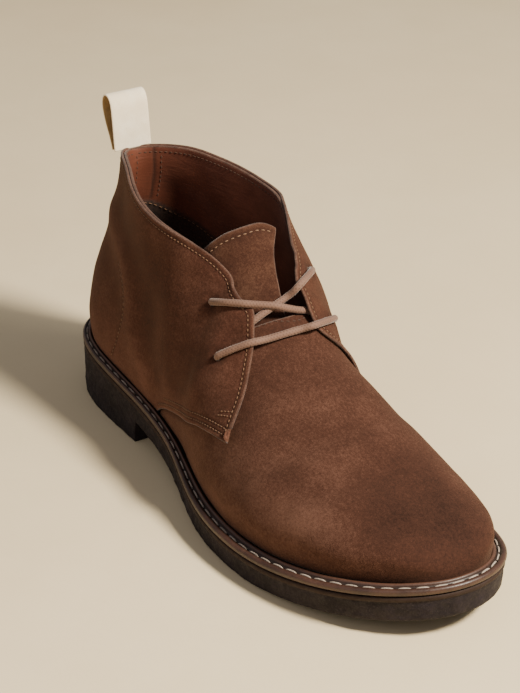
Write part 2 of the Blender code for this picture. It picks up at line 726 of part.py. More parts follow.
# lower bar: straight across from the outer flap to the inner one
LOWER_BAR = [eyA + nA * LIFT, (152.6, -30.6, 82.3), (155.7, -26.9, 84.8),
             (158.7, -23.1, 87.2), (161.4, -18.9, 89.0), (161.9, -13.5, 88.9),
             (162.7, -8.2, 89.4), (163.7, -2.9, 90.2), (164.3, 2.4, 90.7),
             (164.3, 7.8, 90.7), (164.0, 13.2, 90.4), (163.7, 18.6, 90.1),
             (163.8, 24.0, 90.3), (163.9, 29.3, 90.5), (160.7, 33.2, 88.9),
             (156.5, 35.6, 86.1), (152.4, 37.2, 83.2), eyC + nC * LIFT]
# upper pair: the strand from the outer flap lies over the one from the inner
STRAND_TOP = [eyB + nB * LIFT, (135.7, -24.0, 99.8), (139.3, -22.9, 101.0),
              (142.7, -21.4, 101.9), (145.7, -18.9, 102.3), (148.6, -16.3, 102.6),
              (150.7, -13.0, 102.4), (152.8, -9.7, 102.2), (154.8, -6.3, 102.0),
              (156.2, -2.8, 101.3), (156.6, 0.7, 99.7), (157.1, 4.4, 98.3),
              (157.3, 8.0, 96.9), (157.3, 11.7, 95.7), (157.1, 15.3, 94.2),
              (156.2, 18.5, 92.1)]
STRAND_UNDER = [eyD + nD * LIFT, (138.1, 32.4, 104.4), (141.0, 30.6, 105.9),
                (143.9, 28.6, 107.1), (146.8, 26.4, 108.0), (149.4, 23.8, 108.8),
                (151.0, 20.4, 108.6), (150.9, 17.4, 107.1), (150.9, 14.2, 105.5),
                (151.4, 10.7, 104.3), (152.1, 7.2, 103.3), (152.7, 3.6, 102.4),
                (153.3, 0.1, 101.4), (153.7, -3.4, 100.3), (153.9, -6.9, 99.0),
                (153.9, -10.3, 97.6)]
v, f = cord(LOWER_BAR, CORD_R, 22)
parts.append(solid("lace_lower_bar", v, f, CORD))
v, f = cord(STRAND_TOP, CORD_R, 18)
a = solid("lace_crossing", v, f, CORD)
v, f = cord(STRAND_UNDER, CORD_R, 17)
b = solid("lace_under_strand", v, f, CORD)
b.display_type = "WIRE"
b.hide_render = True
mod = a.modifiers.new("join", "BOOLEAN")
mod.operation = "UNION"
mod.solver = "EXACT"
mod.object = b
parts.append(a)

# ----------------------------------------------------------------- pull loop
LOOP_W, LOOP_T = 20.5, 1.2
# side view of the strap, outer leg over the top to the inner leg (x, z)
LOOP = [(9.4, 127.9), (7.2, 132), (3.6, 138), (0.6, 144), (-0.6, 149),
        (0.6, 153.2), (4.0, 154.6), (7.2, 152.4), (8.8, 147.5), (9.8, 141),
        (10.8, 134), (11.7, 127.9)]
c = curve(LOOP, 30)
t = np.gradient(c, axis=0)
t /= np.linalg.norm(t, axis=1)[:, None]
nn = np.stack([-t[:, 1], t[:, 0]], 1)
g = np.zeros((30, 4, 4))
vs, fs = [], []
for i in range(30):
    for y, e in ((-LOOP_W / 2, 1), (LOOP_W / 2, 1), (LOOP_W / 2, -1), (-LOOP_W / 2, -1)):
        px, pz = c[i] + nn[i] * e * LOOP_T / 2
        vs.append(np.array([px, y, pz]))
for i in range(29):
    for k in range(4):
        k2 = (k + 1) % 4
        fs.append([i * 4 + k, (i + 1) * 4 + k, (i + 1) * 4 + k2, i * 4 + k2])
fs.append([0, 1, 2, 3])
fs.append([29 * 4 + 3, 29 * 4 + 2, 29 * 4 + 1, 29 * 4])
vol = 0.0
for f in fs:
    for q in range(1, len(f) - 1):
        vol += np.dot(vs[f[0]], np.cross(vs[f[q]], vs[f[q + 1]]))
if vol < 0:
    fs = [f[::-1] for f in fs]
parts.append(solid("pull_loop", vs, fs, STRAP))

# ------------------------------------------------ centre on the box it fills
lo = np.min([np.min([tuple(v.co) for v in ob.data.vertices], axis=0) for ob in parts], axis=0)
hi = np.max([np.max([tuple(v.co) for v in ob.data.vertices], axis=0) for ob in parts], axis=0)
shift = (-(lo[0] + hi[0]) / 2, -(lo[1] + hi[1]) / 2, -lo[2])
for ob in bpy.data.objects:
    for v in ob.data.vertices:
        v.co.x += shift[0]
        v.co.y += shift[1]
        v.co.z += shift[2]
    ob.data.update()
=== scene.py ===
# Chukka boot, right foot: the visual model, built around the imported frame.
# Working units are millimetres: +X toward the toe, +Y toward the inner (medial)
# side, +Z up.  SHIFT moves the drawing onto the frame.
import json
import math

import bpy
import numpy as np
from mathutils import Matrix, Vector
from mathutils.bvhtree import BVHTree

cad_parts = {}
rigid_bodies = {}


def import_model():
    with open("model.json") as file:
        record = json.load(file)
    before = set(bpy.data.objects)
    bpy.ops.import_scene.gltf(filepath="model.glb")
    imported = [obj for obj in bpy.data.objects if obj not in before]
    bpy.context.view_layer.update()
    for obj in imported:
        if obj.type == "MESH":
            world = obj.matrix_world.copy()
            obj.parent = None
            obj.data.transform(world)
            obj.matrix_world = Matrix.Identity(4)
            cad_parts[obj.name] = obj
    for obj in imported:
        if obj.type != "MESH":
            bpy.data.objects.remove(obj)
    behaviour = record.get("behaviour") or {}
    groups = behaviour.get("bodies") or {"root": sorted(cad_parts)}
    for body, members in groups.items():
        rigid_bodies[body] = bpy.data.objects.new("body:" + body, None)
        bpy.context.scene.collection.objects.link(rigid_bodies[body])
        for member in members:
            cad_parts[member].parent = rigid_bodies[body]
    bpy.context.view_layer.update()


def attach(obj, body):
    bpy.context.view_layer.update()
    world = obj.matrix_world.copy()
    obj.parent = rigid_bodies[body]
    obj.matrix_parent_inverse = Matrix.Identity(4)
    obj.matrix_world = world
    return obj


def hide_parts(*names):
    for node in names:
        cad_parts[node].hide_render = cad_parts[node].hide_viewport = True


for ob in list(bpy.data.objects):
    bpy.data.objects.remove(ob, do_unlink=True)

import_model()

MM = 0.001
SHIFT = np.array([-147.53109612502158, 2.5628190487623215, 0.0])

# ------------------------------------------------------- picture settings
CAM_AIM = (130.0, 4.0, 66.0)
CAM_ROLL = math.radians(0.616)
CAM_F = 2270.0
FLOOR_A, FLOOR_B = (0.690, 0.562, 0.362), (0.725, 0.596, 0.394)
FLOOR_C, FLOOR_D = (0.630, 0.505, 0.318), (0.520, 0.408, 0.248)
# name, place (m), size (m), power (W), colour
LIGHTS = [("key", (0.909, 0.392, 1.140), 0.27, 55.0, (1.0, 0.925, 0.775)),
          ("side", (0.92, 0.57, 1.25), 0.6, 8.0, (1.0, 0.93, 0.80)),
          ("fill", (0.5, -1.9, 1.3), 1.8, 7.5, (1.0, 0.93, 0.90))]
WORLD = ((0.96, 0.955, 1.0, 1), 0.30)

# ------------------------------------------------------------------ sizes (mm)
HEEL_X = 40.0          # the heel is rounded behind this station
TOE_X = 244.0          # the toe is rounded ahead of this station
WALL_UPPER = 1.6       # vamp and lining
WALL_QUARTER = 1.4     # outer quarter leather
GAP = 0.35             # air between curved layers
WELT_T = 3.5
SOLE_EXT = 5.6         # sole edge outside the upper's plan outline
TUCK = 1.6             # the upper draws in at the feather line
BREAST_X = 80.0        # front face of the heel

# plan outline of the upper at its fullest: (x, y), heel centre round the
# outer side to the toe and back along the inner side
OUTLINE = [(-1, 0), (4, -18.5), (19, -31), (45, -36), (85, -36.2), (125, -40),
           (165, -49), (205, -51.5), (240, -45), (269, -32), (288.5, -14),
           (296, 5), (290.7, 24.8), (272, 39), (240, 46), (205, 45.5),
           (165, 36.5), (125, 29.5), (85, 31.5), (45, 35), (19, 31), (3.5, 18.5)]

# side view: top line of toe, vamp and instep (x, z), toe tip first
RIDGE = [(296.0, 30), (293.5, 36), (287, 42), (270, 47.2), (250, 51.8),
         (228, 57.5), (205, 65.5), (185, 74.5), (172, 82), (160, 92),
         (150, 104), (144, 117), (140, 130), (138, 145)]
# plan view of that line (x, y)
RIDGE_Y = [(-20, 0), (0, 0), (60, 0), (120, 1), (160, 4), (200, 7), (240, 8),
           (275, 7.5)]
# side view of the back seam (x, z)
BACK = [(0.6, 30), (-1.2, 45), (-1.2, 60), (1.2, 76), (5.0, 92), (8.8, 106),
        (11, 118), (10.5, 128), (10, 140)]
# feather line: top of the welt (x, z)
FEATHER = [(-8, 32.6), (30, 31.8), (75, 28.1), (110, 24.1), (150, 18.9),
           (190, 16.5), (220, 16.8), (255, 20.6), (285, 26.0), (305, 30.2)]
# underside of the sole ahead of the heel (x, z)
TREAD = [(80, 12), (100, 9.5), (125, 5.5), (150, 1.8), (170, 0), (190, 0),
         (214, 0), (245, 3.0), (275, 7.4), (305, 12.6)]

# half widths of the quarters, one row per upright section:
#          x     z30   z50   z70   z90   z110   z130
LEVELS = [30, 50, 70, 90, 110, 130]
OUTER_SIDE = [(40, 36.5, 35.5, 31.5, 26.5, 22.5, 19.6),
              (60, 36.8, 36.2, 33.8, 30.5, 27.8, 26.3),
              (80, 36.4, 36.0, 34.3, 31.8, 29.6, 27.8),
              (100, 37.3, 37.0, 35.0, 32.0, 28.2, 23.0),
              (120, 39.5, 39.0, 36.0, 30.5, 21.5, 10.0),
              (134, 42.0, 41.0, 36.5, 27.0, 13.5, -3.0),
              (148, 45.3, 43.5, 36.5, 21.5, 3.0, -18.0),
              (162, 48.5, 45.5, 33.0, 12.0, -14.0, -38.0),
              (176, 50.5, 46.0, 28.0, 0.0, -30.0, -55.0)]
INNER_SIDE = [(40, 35.6, 35.3, 32.6, 29.8, 28.0, 27.4),
              (60, 33.8, 34.4, 33.6, 32.6, 32.8, 34.0),
              (80, 31.8, 33.0, 34.0, 35.0, 36.4, 37.3),
              (100, 30.3, 33.0, 35.0, 36.6, 37.0, 35.2),
              (120, 29.7, 33.5, 36.0, 36.6, 33.5, 24.5),
              (134, 30.5, 34.5, 37.0, 35.8, 28.5, 13.0),
              (148, 33.0, 36.5, 38.0, 33.8, 20.5, 0.0),
              (162, 36.0, 38.2, 36.8, 27.0, 8.0, -15.0),
              (176, 38.0, 38.5, 32.0, 15.0, -8.0, -30.0)]
# how full the vamp sections are: (x, outer side, inner side)
FULLNESS = [(130, 1.6, 2.4), (175, 1.65, 2.4), (205, 1.8, 2.3),
            (240, 2.05, 2.2), (275, 2.2, 2.2), (296, 2.2, 2.2)]

# edges of the quarters in side view (x, z): collar, then the front of the flap
COLLAR_OUT = [(10.6, 127.0), (20, 129.6), (32, 130.6), (45, 129.6), (60, 126.6),
              (80, 123.0), (100, 120.6), (118, 116.6), (134, 109.0),
              (146, 101.0), (154, 93.0), (165, 77.6), (172.6, 67.0),
              (180.4, 51.7)]
COLLAR_IN = [(10.6, 127.0), (20, 128.2), (32, 129.2), (45, 128.8), (60, 127.8),
             (80, 126.3), (100, 125.6), (118, 122.2), (134, 116.8),
             (146, 108.2), (155, 98.5), (162, 86.0), (168, 68.0),
             (172.5, 45.0)]
# lower edge of the flap, from where it leaves the welt to its tip (x, z)
FLAP_FOOT_OUT = [(98, 26.4), (104, 31.0), (114, 35.6), (127, 40.0),
                 (143, 44.9), (159, 49.2), (170, 50.9), (180.4, 51.7)]
FLAP_FOOT_IN = [(92, 27.0), (99, 33.5), (110, 38.4), (122, 40.2),
                (136, 41.0), (155, 43.0), (164, 44.2), (172.5, 45.0)]
# throat edge of the inner shell, collar corner to the seam of the tongue (x, z)
THROAT_OUT = [(112, 116.6), (118, 106.0), (125, 95.0), (133, 86.5),
              (141, 84.5), (148, 86.8), (153, 91.0), (157.5, 94.8)]
THROAT_IN = [(112, 120.4), (117, 108.0), (124, 96.0), (133, 88.0),
             (141, 86.0), (148, 88.0), (153, 91.5), (157.5, 94.8)]
# lace holes (side, x, z)
EYELETS = [(-1, 148.7, 78.3), (-1, 131.6, 97.7), (1, 152.9, 82.2), (1, 140.6, 105.0)]
EYELET_R = 2.1

# tongue, one row per cross section: centre line (x, y, z), arch radius,
# outer and inner edge measured across from the centre line
#          x      y    z      r    out   in
TONGUE = [(166.4, 4.5, 78.8, 36, -17, 7),
          (156.4, 5.0, 88.4, 34, -18.5, 4),
          (148.1, 5.2, 98.5, 31, -20, 3),
          (139.2, 5.5, 110.0, 27, -20.5, 3),
          (130.5, 5.8, 120.8, 25, -20.5, 5),
          (124.0, 6.0, 128.2, 23.5, -21, 8)]
TONGUE_T = 2.0


# ------------------------------------------------------------- smooth curves
def second(xs, ys):
    n = len(xs)
    h = np.diff(xs)
    a = np.zeros((n, n))
    b = np.zeros_like(ys)
    a[0, 0] = a[-1, -1] = 1.0
    s = np.diff(ys, axis=0) / h[:, None]
    for i in range(1, n - 1):
        a[i, i - 1], a[i, i], a[i, i + 1] = h[i - 1], 2 * (h[i - 1] + h[i]), h[i]
        b[i] = 6 * (s[i] - s[i - 1])
    return np.linalg.solve(a, b)


def along(xs, ys, x):
    """natural cubic through (xs, ys) read at x, held at the ends"""
    xs = np.asarray(xs, float)
    ys = np.asarray(ys, float)
    flat = ys.ndim == 1
    if flat:
        ys = ys[:, None]
    m = second(xs, ys)
    x = np.clip(np.ravel(x), xs[0], xs[-1])
    k = np.clip(np.searchsorted(xs, x, side="right") - 1, 0, len(xs) - 2)
    h = (xs[k + 1] - xs[k])[:, None]
    a = (xs[k + 1] - x)[:, None]
    b = (x - xs[k])[:, None]
    v = ((m[k] * a ** 3 + m[k + 1] * b ** 3) / (6 * h)
         + (ys[k] / h - m[k] * h / 6) * a + (ys[k + 1] / h - m[k + 1] * h / 6) * b)
    return v[:, 0] if flat else v


def curve(points, n, closed=False):
    """smooth curve through points, n samples evenly spaced by length"""
    p = np.asarray(points, float)
    if closed:
        p = np.vstack([p[-3:], p, p[:4]])
    t = np.r_[0, np.cumsum(np.linalg.norm(np.diff(p, axis=0), axis=1) ** 0.5)]
    lo, hi = (t[3], t[-4]) if closed else (t[0], t[-1])
    q = along(t, p, np.linspace(lo, hi, 1600))
    s = np.r_[0, np.cumsum(np.linalg.norm(np.diff(q, axis=0), axis=1))]
    u = np.linspace(0, s[-1], n)
    return np.stack([np.interp(u, s, q[:, i]) for i in range(q.shape[1])], 1)


def smooth(a, b, x):
    t = np.clip((x - a) / (b - a), 0, 1)
    return t * t * (3 - 2 * t)


outline = curve(OUTLINE, 2401, True)[:-1]
outline = np.roll(outline, -int(np.argmin(outline[:, 0])), 0)
toe_i = int(np.argmax(outline[:, 0]))
SIDE_PLAN = {-1: outline[:toe_i + 1], 1: np.vstack([outline[toe_i:], outline[:1]])[::-1]}
TIP_X, TIP_Y = outline[toe_i]
ridge = curve(RIDGE, 1500)
back = curve(BACK, 400)
feather_x = np.linspace(-12, 306, 400)
feather_z = along([r[0] for r in FEATHER], [r[1] for r in FEATHER], feather_x)


def feather(x):
    return np.interp(x, feather_x, feather_z)


def ridge_z(x):
    return np.interp(-np.asarray(x), -ridge[:, 0], ridge[:, 1])


ridge_plan = curve(RIDGE_Y + [(TIP_X, TIP_Y), (TIP_X + 20, TIP_Y)], 600)


def ridge_y(x):
    return np.interp(x, ridge_plan[:, 0], ridge_plan[:, 1])


def back_x(z):
    return np.interp(z, back[:, 1], back[:, 0])


def plan_half(x, side):
    a = SIDE_PLAN[side]
    return side * np.interp(x, a[:, 0], a[:, 1])


def table(rows, x, z):
    rows = np.asarray(rows, float)
    wx = along(rows[:, 0], np.eye(len(rows)), x)
    wz = along(LEVELS, np.eye(len(LEVELS)), z)
    return np.einsum("ni,ij,nj->n", wx, rows[:, 1:], wz)


def tuck(z, zm, w):
    return TUCK * np.clip((zm - z) / 10, 0, 1) ** 2 * np.tanh(np.maximum(w, 0) / 8)


def quarter_half(x, z, side):
    """half width of the quarters at station x, height z"""
    x, z = [np.ravel(a).astype(float) for a in np.broadcast_arrays(x, z)]

    def wall(xe):
        rows = OUTER_SIDE if side < 0 else INNER_SIDE
        zm = feather(xe) + 10
        v = table(rows, xe, np.maximum(z, zm))
        t = np.clip((z - zm) / 14, 0, 1)
        return v + (plan_half(xe, side) - table(rows, xe, zm)) * (1 - t) ** 2

    xe = np.clip(x, HEEL_X, 176)
    y = wall(xe)
    at = np.full_like(z, HEEL_X)
    y40 = wall(at)
    depth = HEEL_X - back_x(z)
    q = np.clip((x - back_x(z)) / depth, 0, 1)
    slope = np.clip((wall(at + 1) - y40) * depth / y40, 0, 0.6)
    a = np.interp(z, [40, 70, 100, 125], [1.5, 1.44, 1.24, 1.06])
    c = slope + a - 1.5
    b = 2.5 - 2 * a - slope
    y = np.where(x < HEEL_X, y40 * np.sqrt(q) * (a + b * q + c * q * q), y)
    return y - tuck(z, feather(np.maximum(x, HEEL_X)) + 10, y)


def vamp_half(x, z, side):
    """half width of the vamp, measured from the centre plane"""
    x, z = [np.ravel(a).astype(float) for a in np.broadcast_arrays(x, z)]
    full = np.maximum(plan_half(x, side) - side * ridge_y(x), 0)
    zm = feather(x) + 10
    zm = np.minimum(zm, 0.5 * (feather(x) + ridge_z(x)))
    d = np.clip((z - zm) / np.maximum(ridge_z(x) - zm, 0.5), 0, 1)
    f = np.asarray(FULLNESS)
    p = np.interp(x, f[:, 0], f[:, 1 if side < 0 else 2])
    w = full * np.maximum(1 - d ** p, 0) ** (1 / p)
    return side * ridge_y(x) + w - tuck(z, zm, w) * np.clip(w / 3, 0, 1)


# -------------------------------------------------- a girth coordinate q for x
def q_of(x, z):
    x = np.asarray(x, float)
    z = np.broadcast_to(z, x.shape)
    bx = back_x(z)
    heel = 1 - np.arcsin(np.clip((HEEL_X - x) / (HEEL_X - bx), 0, 1)) * 2 / np.pi
    mid = 1 + (x - HEEL_X) / 70
    qt = 1 + (TOE_X - HEEL_X) / 70
    toe = qt + np.arcsin(np.clip((x - TOE_X) / (TIP_X - TOE_X), 0, 1)) * 2 / np.pi
    return np.where(x < HEEL_X, heel, np.where(x > TOE_X, toe, mid))


def x_of(q, z):
    q = np.asarray(q, float)
    bx = back_x(z)
    qt = 1 + (TOE_X - HEEL_X) / 70
    heel = HEEL_X - (HEEL_X - bx) * np.sin(np.clip(1 - q, 0, 1) * np.pi / 2)
    mid = HEEL_X + (q - 1) * 70
    toe = TOE_X + (TIP_X - TOE_X) * np.sin(np.clip(q - qt, 0, 1) * np.pi / 2)
    return np.where(q < 1, heel, np.where(q > qt, toe, mid))


def paced(xz, n, warp=None):
    """n points along an (x, z) edge, evenly spaced by girth length, as (q, z)"""
    xz = np.asarray(xz, float)
    q = q_of(xz[:, 0], xz[:, 1])
    if xz[0, 0] < HEEL_X:
        q[0] = 0.0
    s = np.r_[0, np.cumsum(np.hypot(np.diff(q) * 68, np.diff(xz[:, 1])))]
    u = np.linspace(0, 1, n) if warp is None else warp
    u = u * s[-1]
    return np.stack([np.interp(u, s, q), np.interp(u, s, xz[:, 1])], 1)


def girth(points_of, bottom, top, rows):
    """grid of (x, z): each column runs from bottom to top, evenly spaced"""
    n = len(bottom)
    x = np.zeros((n, rows))
    z = np.zeros((n, rows))
    v = np.sin(np.linspace(0, 1, 90) * np.pi / 2)
    for i in range(n):
        q = bottom[i, 0] + (top[i, 0] - bottom[i, 0]) * v
        zz = bottom[i, 1] + (top[i, 1] - bottom[i, 1]) * v
        xx = x_of(q, zz)
        p = points_of(xx, zz)
        s = np.r_[0, np.cumsum(np.linalg.norm(np.diff(p, axis=0), axis=1))]
        u = np.linspace(0, s[-1], rows) if s[-1] > 1e-6 else np.zeros(rows)
        z[i] = np.interp(u, s, zz)
        x[i] = x_of(np.interp(u, s, q), z[i])
    return x, z




# ------------------------------------------------------------ helpers (meshes)
def ripple(p, size, seed, n=9):
    """smooth, repeatable unevenness of about unit size"""
    rng = np.random.default_rng(seed)
    out = np.zeros(len(p))
    for _ in range(n):
        d = rng.normal(size=3)
        d /= np.linalg.norm(d)
        w = 2 * math.pi / (size * rng.uniform(0.7, 1.6))
        out += np.sin(p @ d * w + rng.uniform(0, 6.28))
    return out / math.sqrt(n / 2.0)


def line3(points, step=1.0):
    p = np.asarray(points, float)
    n = max(3, int(np.linalg.norm(np.diff(p, axis=0), axis=1).sum() / step) + 1)
    return curve(p, n) if len(p) > 2 else p[0] + np.linspace(0, 1, n)[:, None] * (p[1] - p[0])


def near(p, line):
    """distance from each point to a line of points"""
    out = np.zeros(len(p))
    for k in range(0, len(p), 3000):
        q = p[k:k + 3000]
        d = (q ** 2).sum(1)[:, None] - 2 * q @ line.T + (line ** 2).sum(1)[None]
        out[k:k + 3000] = np.sqrt(np.maximum(d.min(1), 0))
    return out


def bell(d, w):
    return np.exp(-(d / w) ** 2)


class Skin:
    """half grids (outer and inner side) welded along the points they share"""

    def __init__(self, grids, flip):
        flat = np.vstack([g.reshape(-1, 3) for g in grids])
        _, inv = np.unique(np.round(flat, 3) + 0.0, axis=0, return_inverse=True)
        inv = np.ravel(inv)
        self.index, k = [], 0
        for g in grids:
            m = g.shape[0] * g.shape[1]
            self.index.append(inv[k:k + m].reshape(g.shape[:2]))
            k += m
        self.count = int(inv.max()) + 1
        quads = []
        for idx, fl in zip(self.index, flip):
            f = np.stack([idx[:-1, :-1], idx[1:, :-1], idx[1:, 1:], idx[:-1, 1:]], -1).reshape(-1, 4)
            quads.append(f[:, ::-1] if fl else f)
        f = np.vstack(quads)
        fixed = []
        for q in f:
            g = [v for k, v in enumerate(q) if v != q[k - 1]]
            if len(set(g)) == len(g) and len(g) > 2:
                fixed.append(g if len(g) == 4 else g + [g[-1]])
        self.faces = np.array(fixed)

    def gather(self, grids):
        v = np.zeros((self.count, 3))
        c = np.zeros(self.count)
        for idx, g in zip(self.index, grids):
            np.add.at(v, idx.ravel(), g.reshape(-1, 3))
            np.add.at(c, idx.ravel(), 1)
        return v / c[:, None]

    def field(self, grids):
        v = np.zeros(self.count)
        for idx, g in zip(self.index, grids):
            v[idx.ravel()] = np.ravel(g)
        return v

    def normals(self, v):
        return face_normals(v, self.faces)

    def smoothed(self, v, rounds, keep=None):
        """each value drawn toward its neighbours"""
        a = self.faces.ravel()
        b = np.roll(self.faces, 1, 1).ravel()
        for _ in range(rounds):
            s = np.zeros_like(v)
            c = np.zeros(len(v))
            np.add.at(s, a, v[b])
            np.add.at(s, b, v[a])
            np.add.at(c, a, 1)
            np.add.at(c, b, 1)
            s = s / np.maximum(c, 1)[(...,) + (None,) * (v.ndim - 1)]
            v = v + 0.5 * (s - v) if keep is None else v + 0.5 * (s - v) * (1 - keep)[(...,) + (None,) * (v.ndim - 1)]
        return v


def face_normals(v, f):
    c = np.cross(v[f[:, 2]] - v[f[:, 0]], v[f[:, 3]] - v[f[:, 1]])
    n = np.zeros_like(v)
    for k in range(4):
        use = slice(None) if k < 3 else f[:, 3] != f[:, 2]
        np.add.at(n, f[use, k], c[use])
    return n / np.maximum(np.linalg.norm(n, axis=1), 1e-12)[:, None]


def thick(v, f, n, wall, steps=4, bulge=0.9):
    """closed sheet of a given wall under the skin v, with a rounded rim.
    Returns points, faces and 0 / 1 / 2 for outer face, rim and inner face."""
    wall = np.broadcast_to(wall, (len(v),))
    inn = v - n * wall[:, None]
    e = np.stack([f, np.roll(f, -1, 1)], -1).reshape(-1, 2)
    e = e[e[:, 0] != e[:, 1]]
    code, rev = e[:, 0] * len(v) + e[:, 1], e[:, 1] * len(v) + e[:, 0]
    rim = e[~np.isin(code, rev)]
    t = v[rim[:, 1]] - v[rim[:, 0]]
    t /= np.maximum(np.linalg.norm(t, axis=1), 1e-9)[:, None]
    b = np.zeros_like(v)
    for k in (0, 1):
        np.add.at(b, rim[:, k], np.cross(t, n[rim[:, k]]))
    b /= np.maximum(np.linalg.norm(b, axis=1), 1e-9)[:, None]
    ids = np.unique(rim)
    pos = {int(i): k for k, i in enumerate(ids)}
    rows_, base = [], 2 * len(v)
    for s in range(1, steps):
        a = math.pi * s / steps
        mid = 0.5 * (v[ids] + inn[ids])
        half = 0.5 * (v[ids] - inn[ids])
        rows_.append(mid + half * math.cos(a) + b[ids] * (0.5 * wall[ids] * bulge * math.sin(a))[:, None])
    pts = np.vstack([v, inn] + rows_)
    fs = [list(q) if q[2] != q[3] else list(q[:3]) for q in f.tolist()]
    kind = [0] * len(fs)
    back_ = [[i + len(v) for i in q[::-1]] for q in fs]
    kind += [2] * len(back_)
    fs = fs + back_
    m = len(ids)
    for a, c in rim.tolist():
        ra = [a] + [base + s * m + pos[a] for s in range(steps - 1)] + [a + len(v)]
        rc = [c] + [base + s * m + pos[c] for s in range(steps - 1)] + [c + len(v)]
        for s in range(steps):
            fs.append([rc[s], ra[s], ra[s + 1], rc[s + 1]])
            kind.append(1)
    src = np.r_[np.arange(len(v)), np.arange(len(v)), np.tile(ids, steps - 1)]
    return pts, fs, np.array(kind), src


def build(name, verts, faces, mats, kind=None, uv=None, attrs=None, stands_for=()):
    me = bpy.data.meshes.new(name)
    v = (np.asarray(verts, float) + SHIFT) * MM
    me.from_pydata(v.tolist(), [], faces)
    for m in mats:
        me.materials.append(m)
    if kind is not None:
        me.polygons.foreach_set("material_index", np.asarray(kind, np.int32))
    me.polygons.foreach_set("use_smooth", np.ones(len(me.polygons), bool))
    if uv is not None:
        vi = np.zeros(len(me.loops), np.int32)
        me.loops.foreach_get("vertex_index", vi)
        layer = me.uv_layers.new(name="flat")
        layer.data.foreach_set("uv", np.asarray(uv, np.float32)[vi].ravel())
    for key, val in (attrs or {}).items():
        at = me.attributes.new(key, "FLOAT", "POINT")
        at.data.foreach_set("value", np.asarray(val, np.float32))
    me.update()
    ob = bpy.data.objects.new(name, me)
    bpy.context.scene.collection.objects.link(ob)
    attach(ob, "root")
    if stands_for:
        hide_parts(*stands_for)
    return ob


def tree_of(v, f):
    return BVHTree.FromPolygons([Vector(p) for p in v], [list(q) if q[2] != q[3] else list(q[:3]) for q in f.tolist()])


def snap(tree, pts):
    out, nn = [], []
    for p in pts:
        a, n, _, _ = tree.find_nearest(Vector(p))
        out.append(a)
        nn.append(n)
    return np.array(out), np.array(nn)


def soften(a, rounds=3):
    a = a.copy()
    for _ in range(rounds):
        a[1:-1] = 0.25 * a[:-2] + 0.5 * a[1:-1] + 0.25 * a[2:]
    return a


def resample(p, step):
    s = np.r_[0, np.cumsum(np.linalg.norm(np.diff(p, axis=0), axis=1))]
    n = max(3, int(s[-1] / step) + 1)
    u = np.linspace(0, s[-1], n)
    return np.stack([np.interp(u, s, p[:, k]) for k in range(3)], 1)


def stitches(rows_, pitch, length, rad, high=0.5, sides=6, cuts=5, wob=0.0, seed=3):
    """one body of short threads laid end to end along each (points, normals) row"""
    vs, fs, base = [], [], 0
    rng = np.random.default_rng(seed)
    for pts, nrm in rows_:
        s = np.r_[0, np.cumsum(np.linalg.norm(np.diff(pts, axis=0), axis=1))]
        n = max(1, int(s[-1] / pitch))
        c = (np.arange(n) + 0.5) * s[-1] / n + rng.normal(size=n) * wob
        t = np.linspace(-1, 1, cuts)
        u = c[:, None] + t[None] * length / 2
        p = np.stack([np.interp(u, s, pts[:, k]) for k in range(3)], -1)
        q = np.stack([np.interp(u, s, nrm[:, k]) for k in range(3)], -1)
        q /= np.linalg.norm(q, axis=-1)[..., None]
        h = rad * (high - (high + 0.95) * np.abs(t) ** 3)
        p = p + q * h[None, :, None]
        d = np.gradient(p, axis=1)
        d /= np.linalg.norm(d, axis=-1)[..., None]
        w = np.cross(d, q)
        w /= np.linalg.norm(w, axis=-1)[..., None]
        q2 = np.cross(w, d)
        r = rad * (1 - 0.45 * np.abs(t) ** 4)
        ang = np.arange(sides) * 2 * math.pi / sides
        ring_ = (p[:, :, None] + (w[:, :, None] * np.cos(ang)[None, None, :, None]
                 + q2[:, :, None] * np.sin(ang)[None, None, :, None]) * r[None, :, None, None])
        v = ring_.reshape(-1, 3)
        vs.append(v)
        for k in range(n):
            b0 = base + k * cuts * sides
            for i in range(cuts - 1):
                for j in range(sides):
                    j2 = (j + 1) % sides
                    fs.append([b0 + i * sides + j, b0 + i * sides + j2,
                               b0 + (i + 1) * sides + j2, b0 + (i + 1) * sides + j])
            fs.append([b0 + j for j in range(sides)][::-1])
            fs.append([b0 + (cuts - 1) * sides + j for j in range(sides)])
        base += len(v)
    return np.vstack(vs), fs


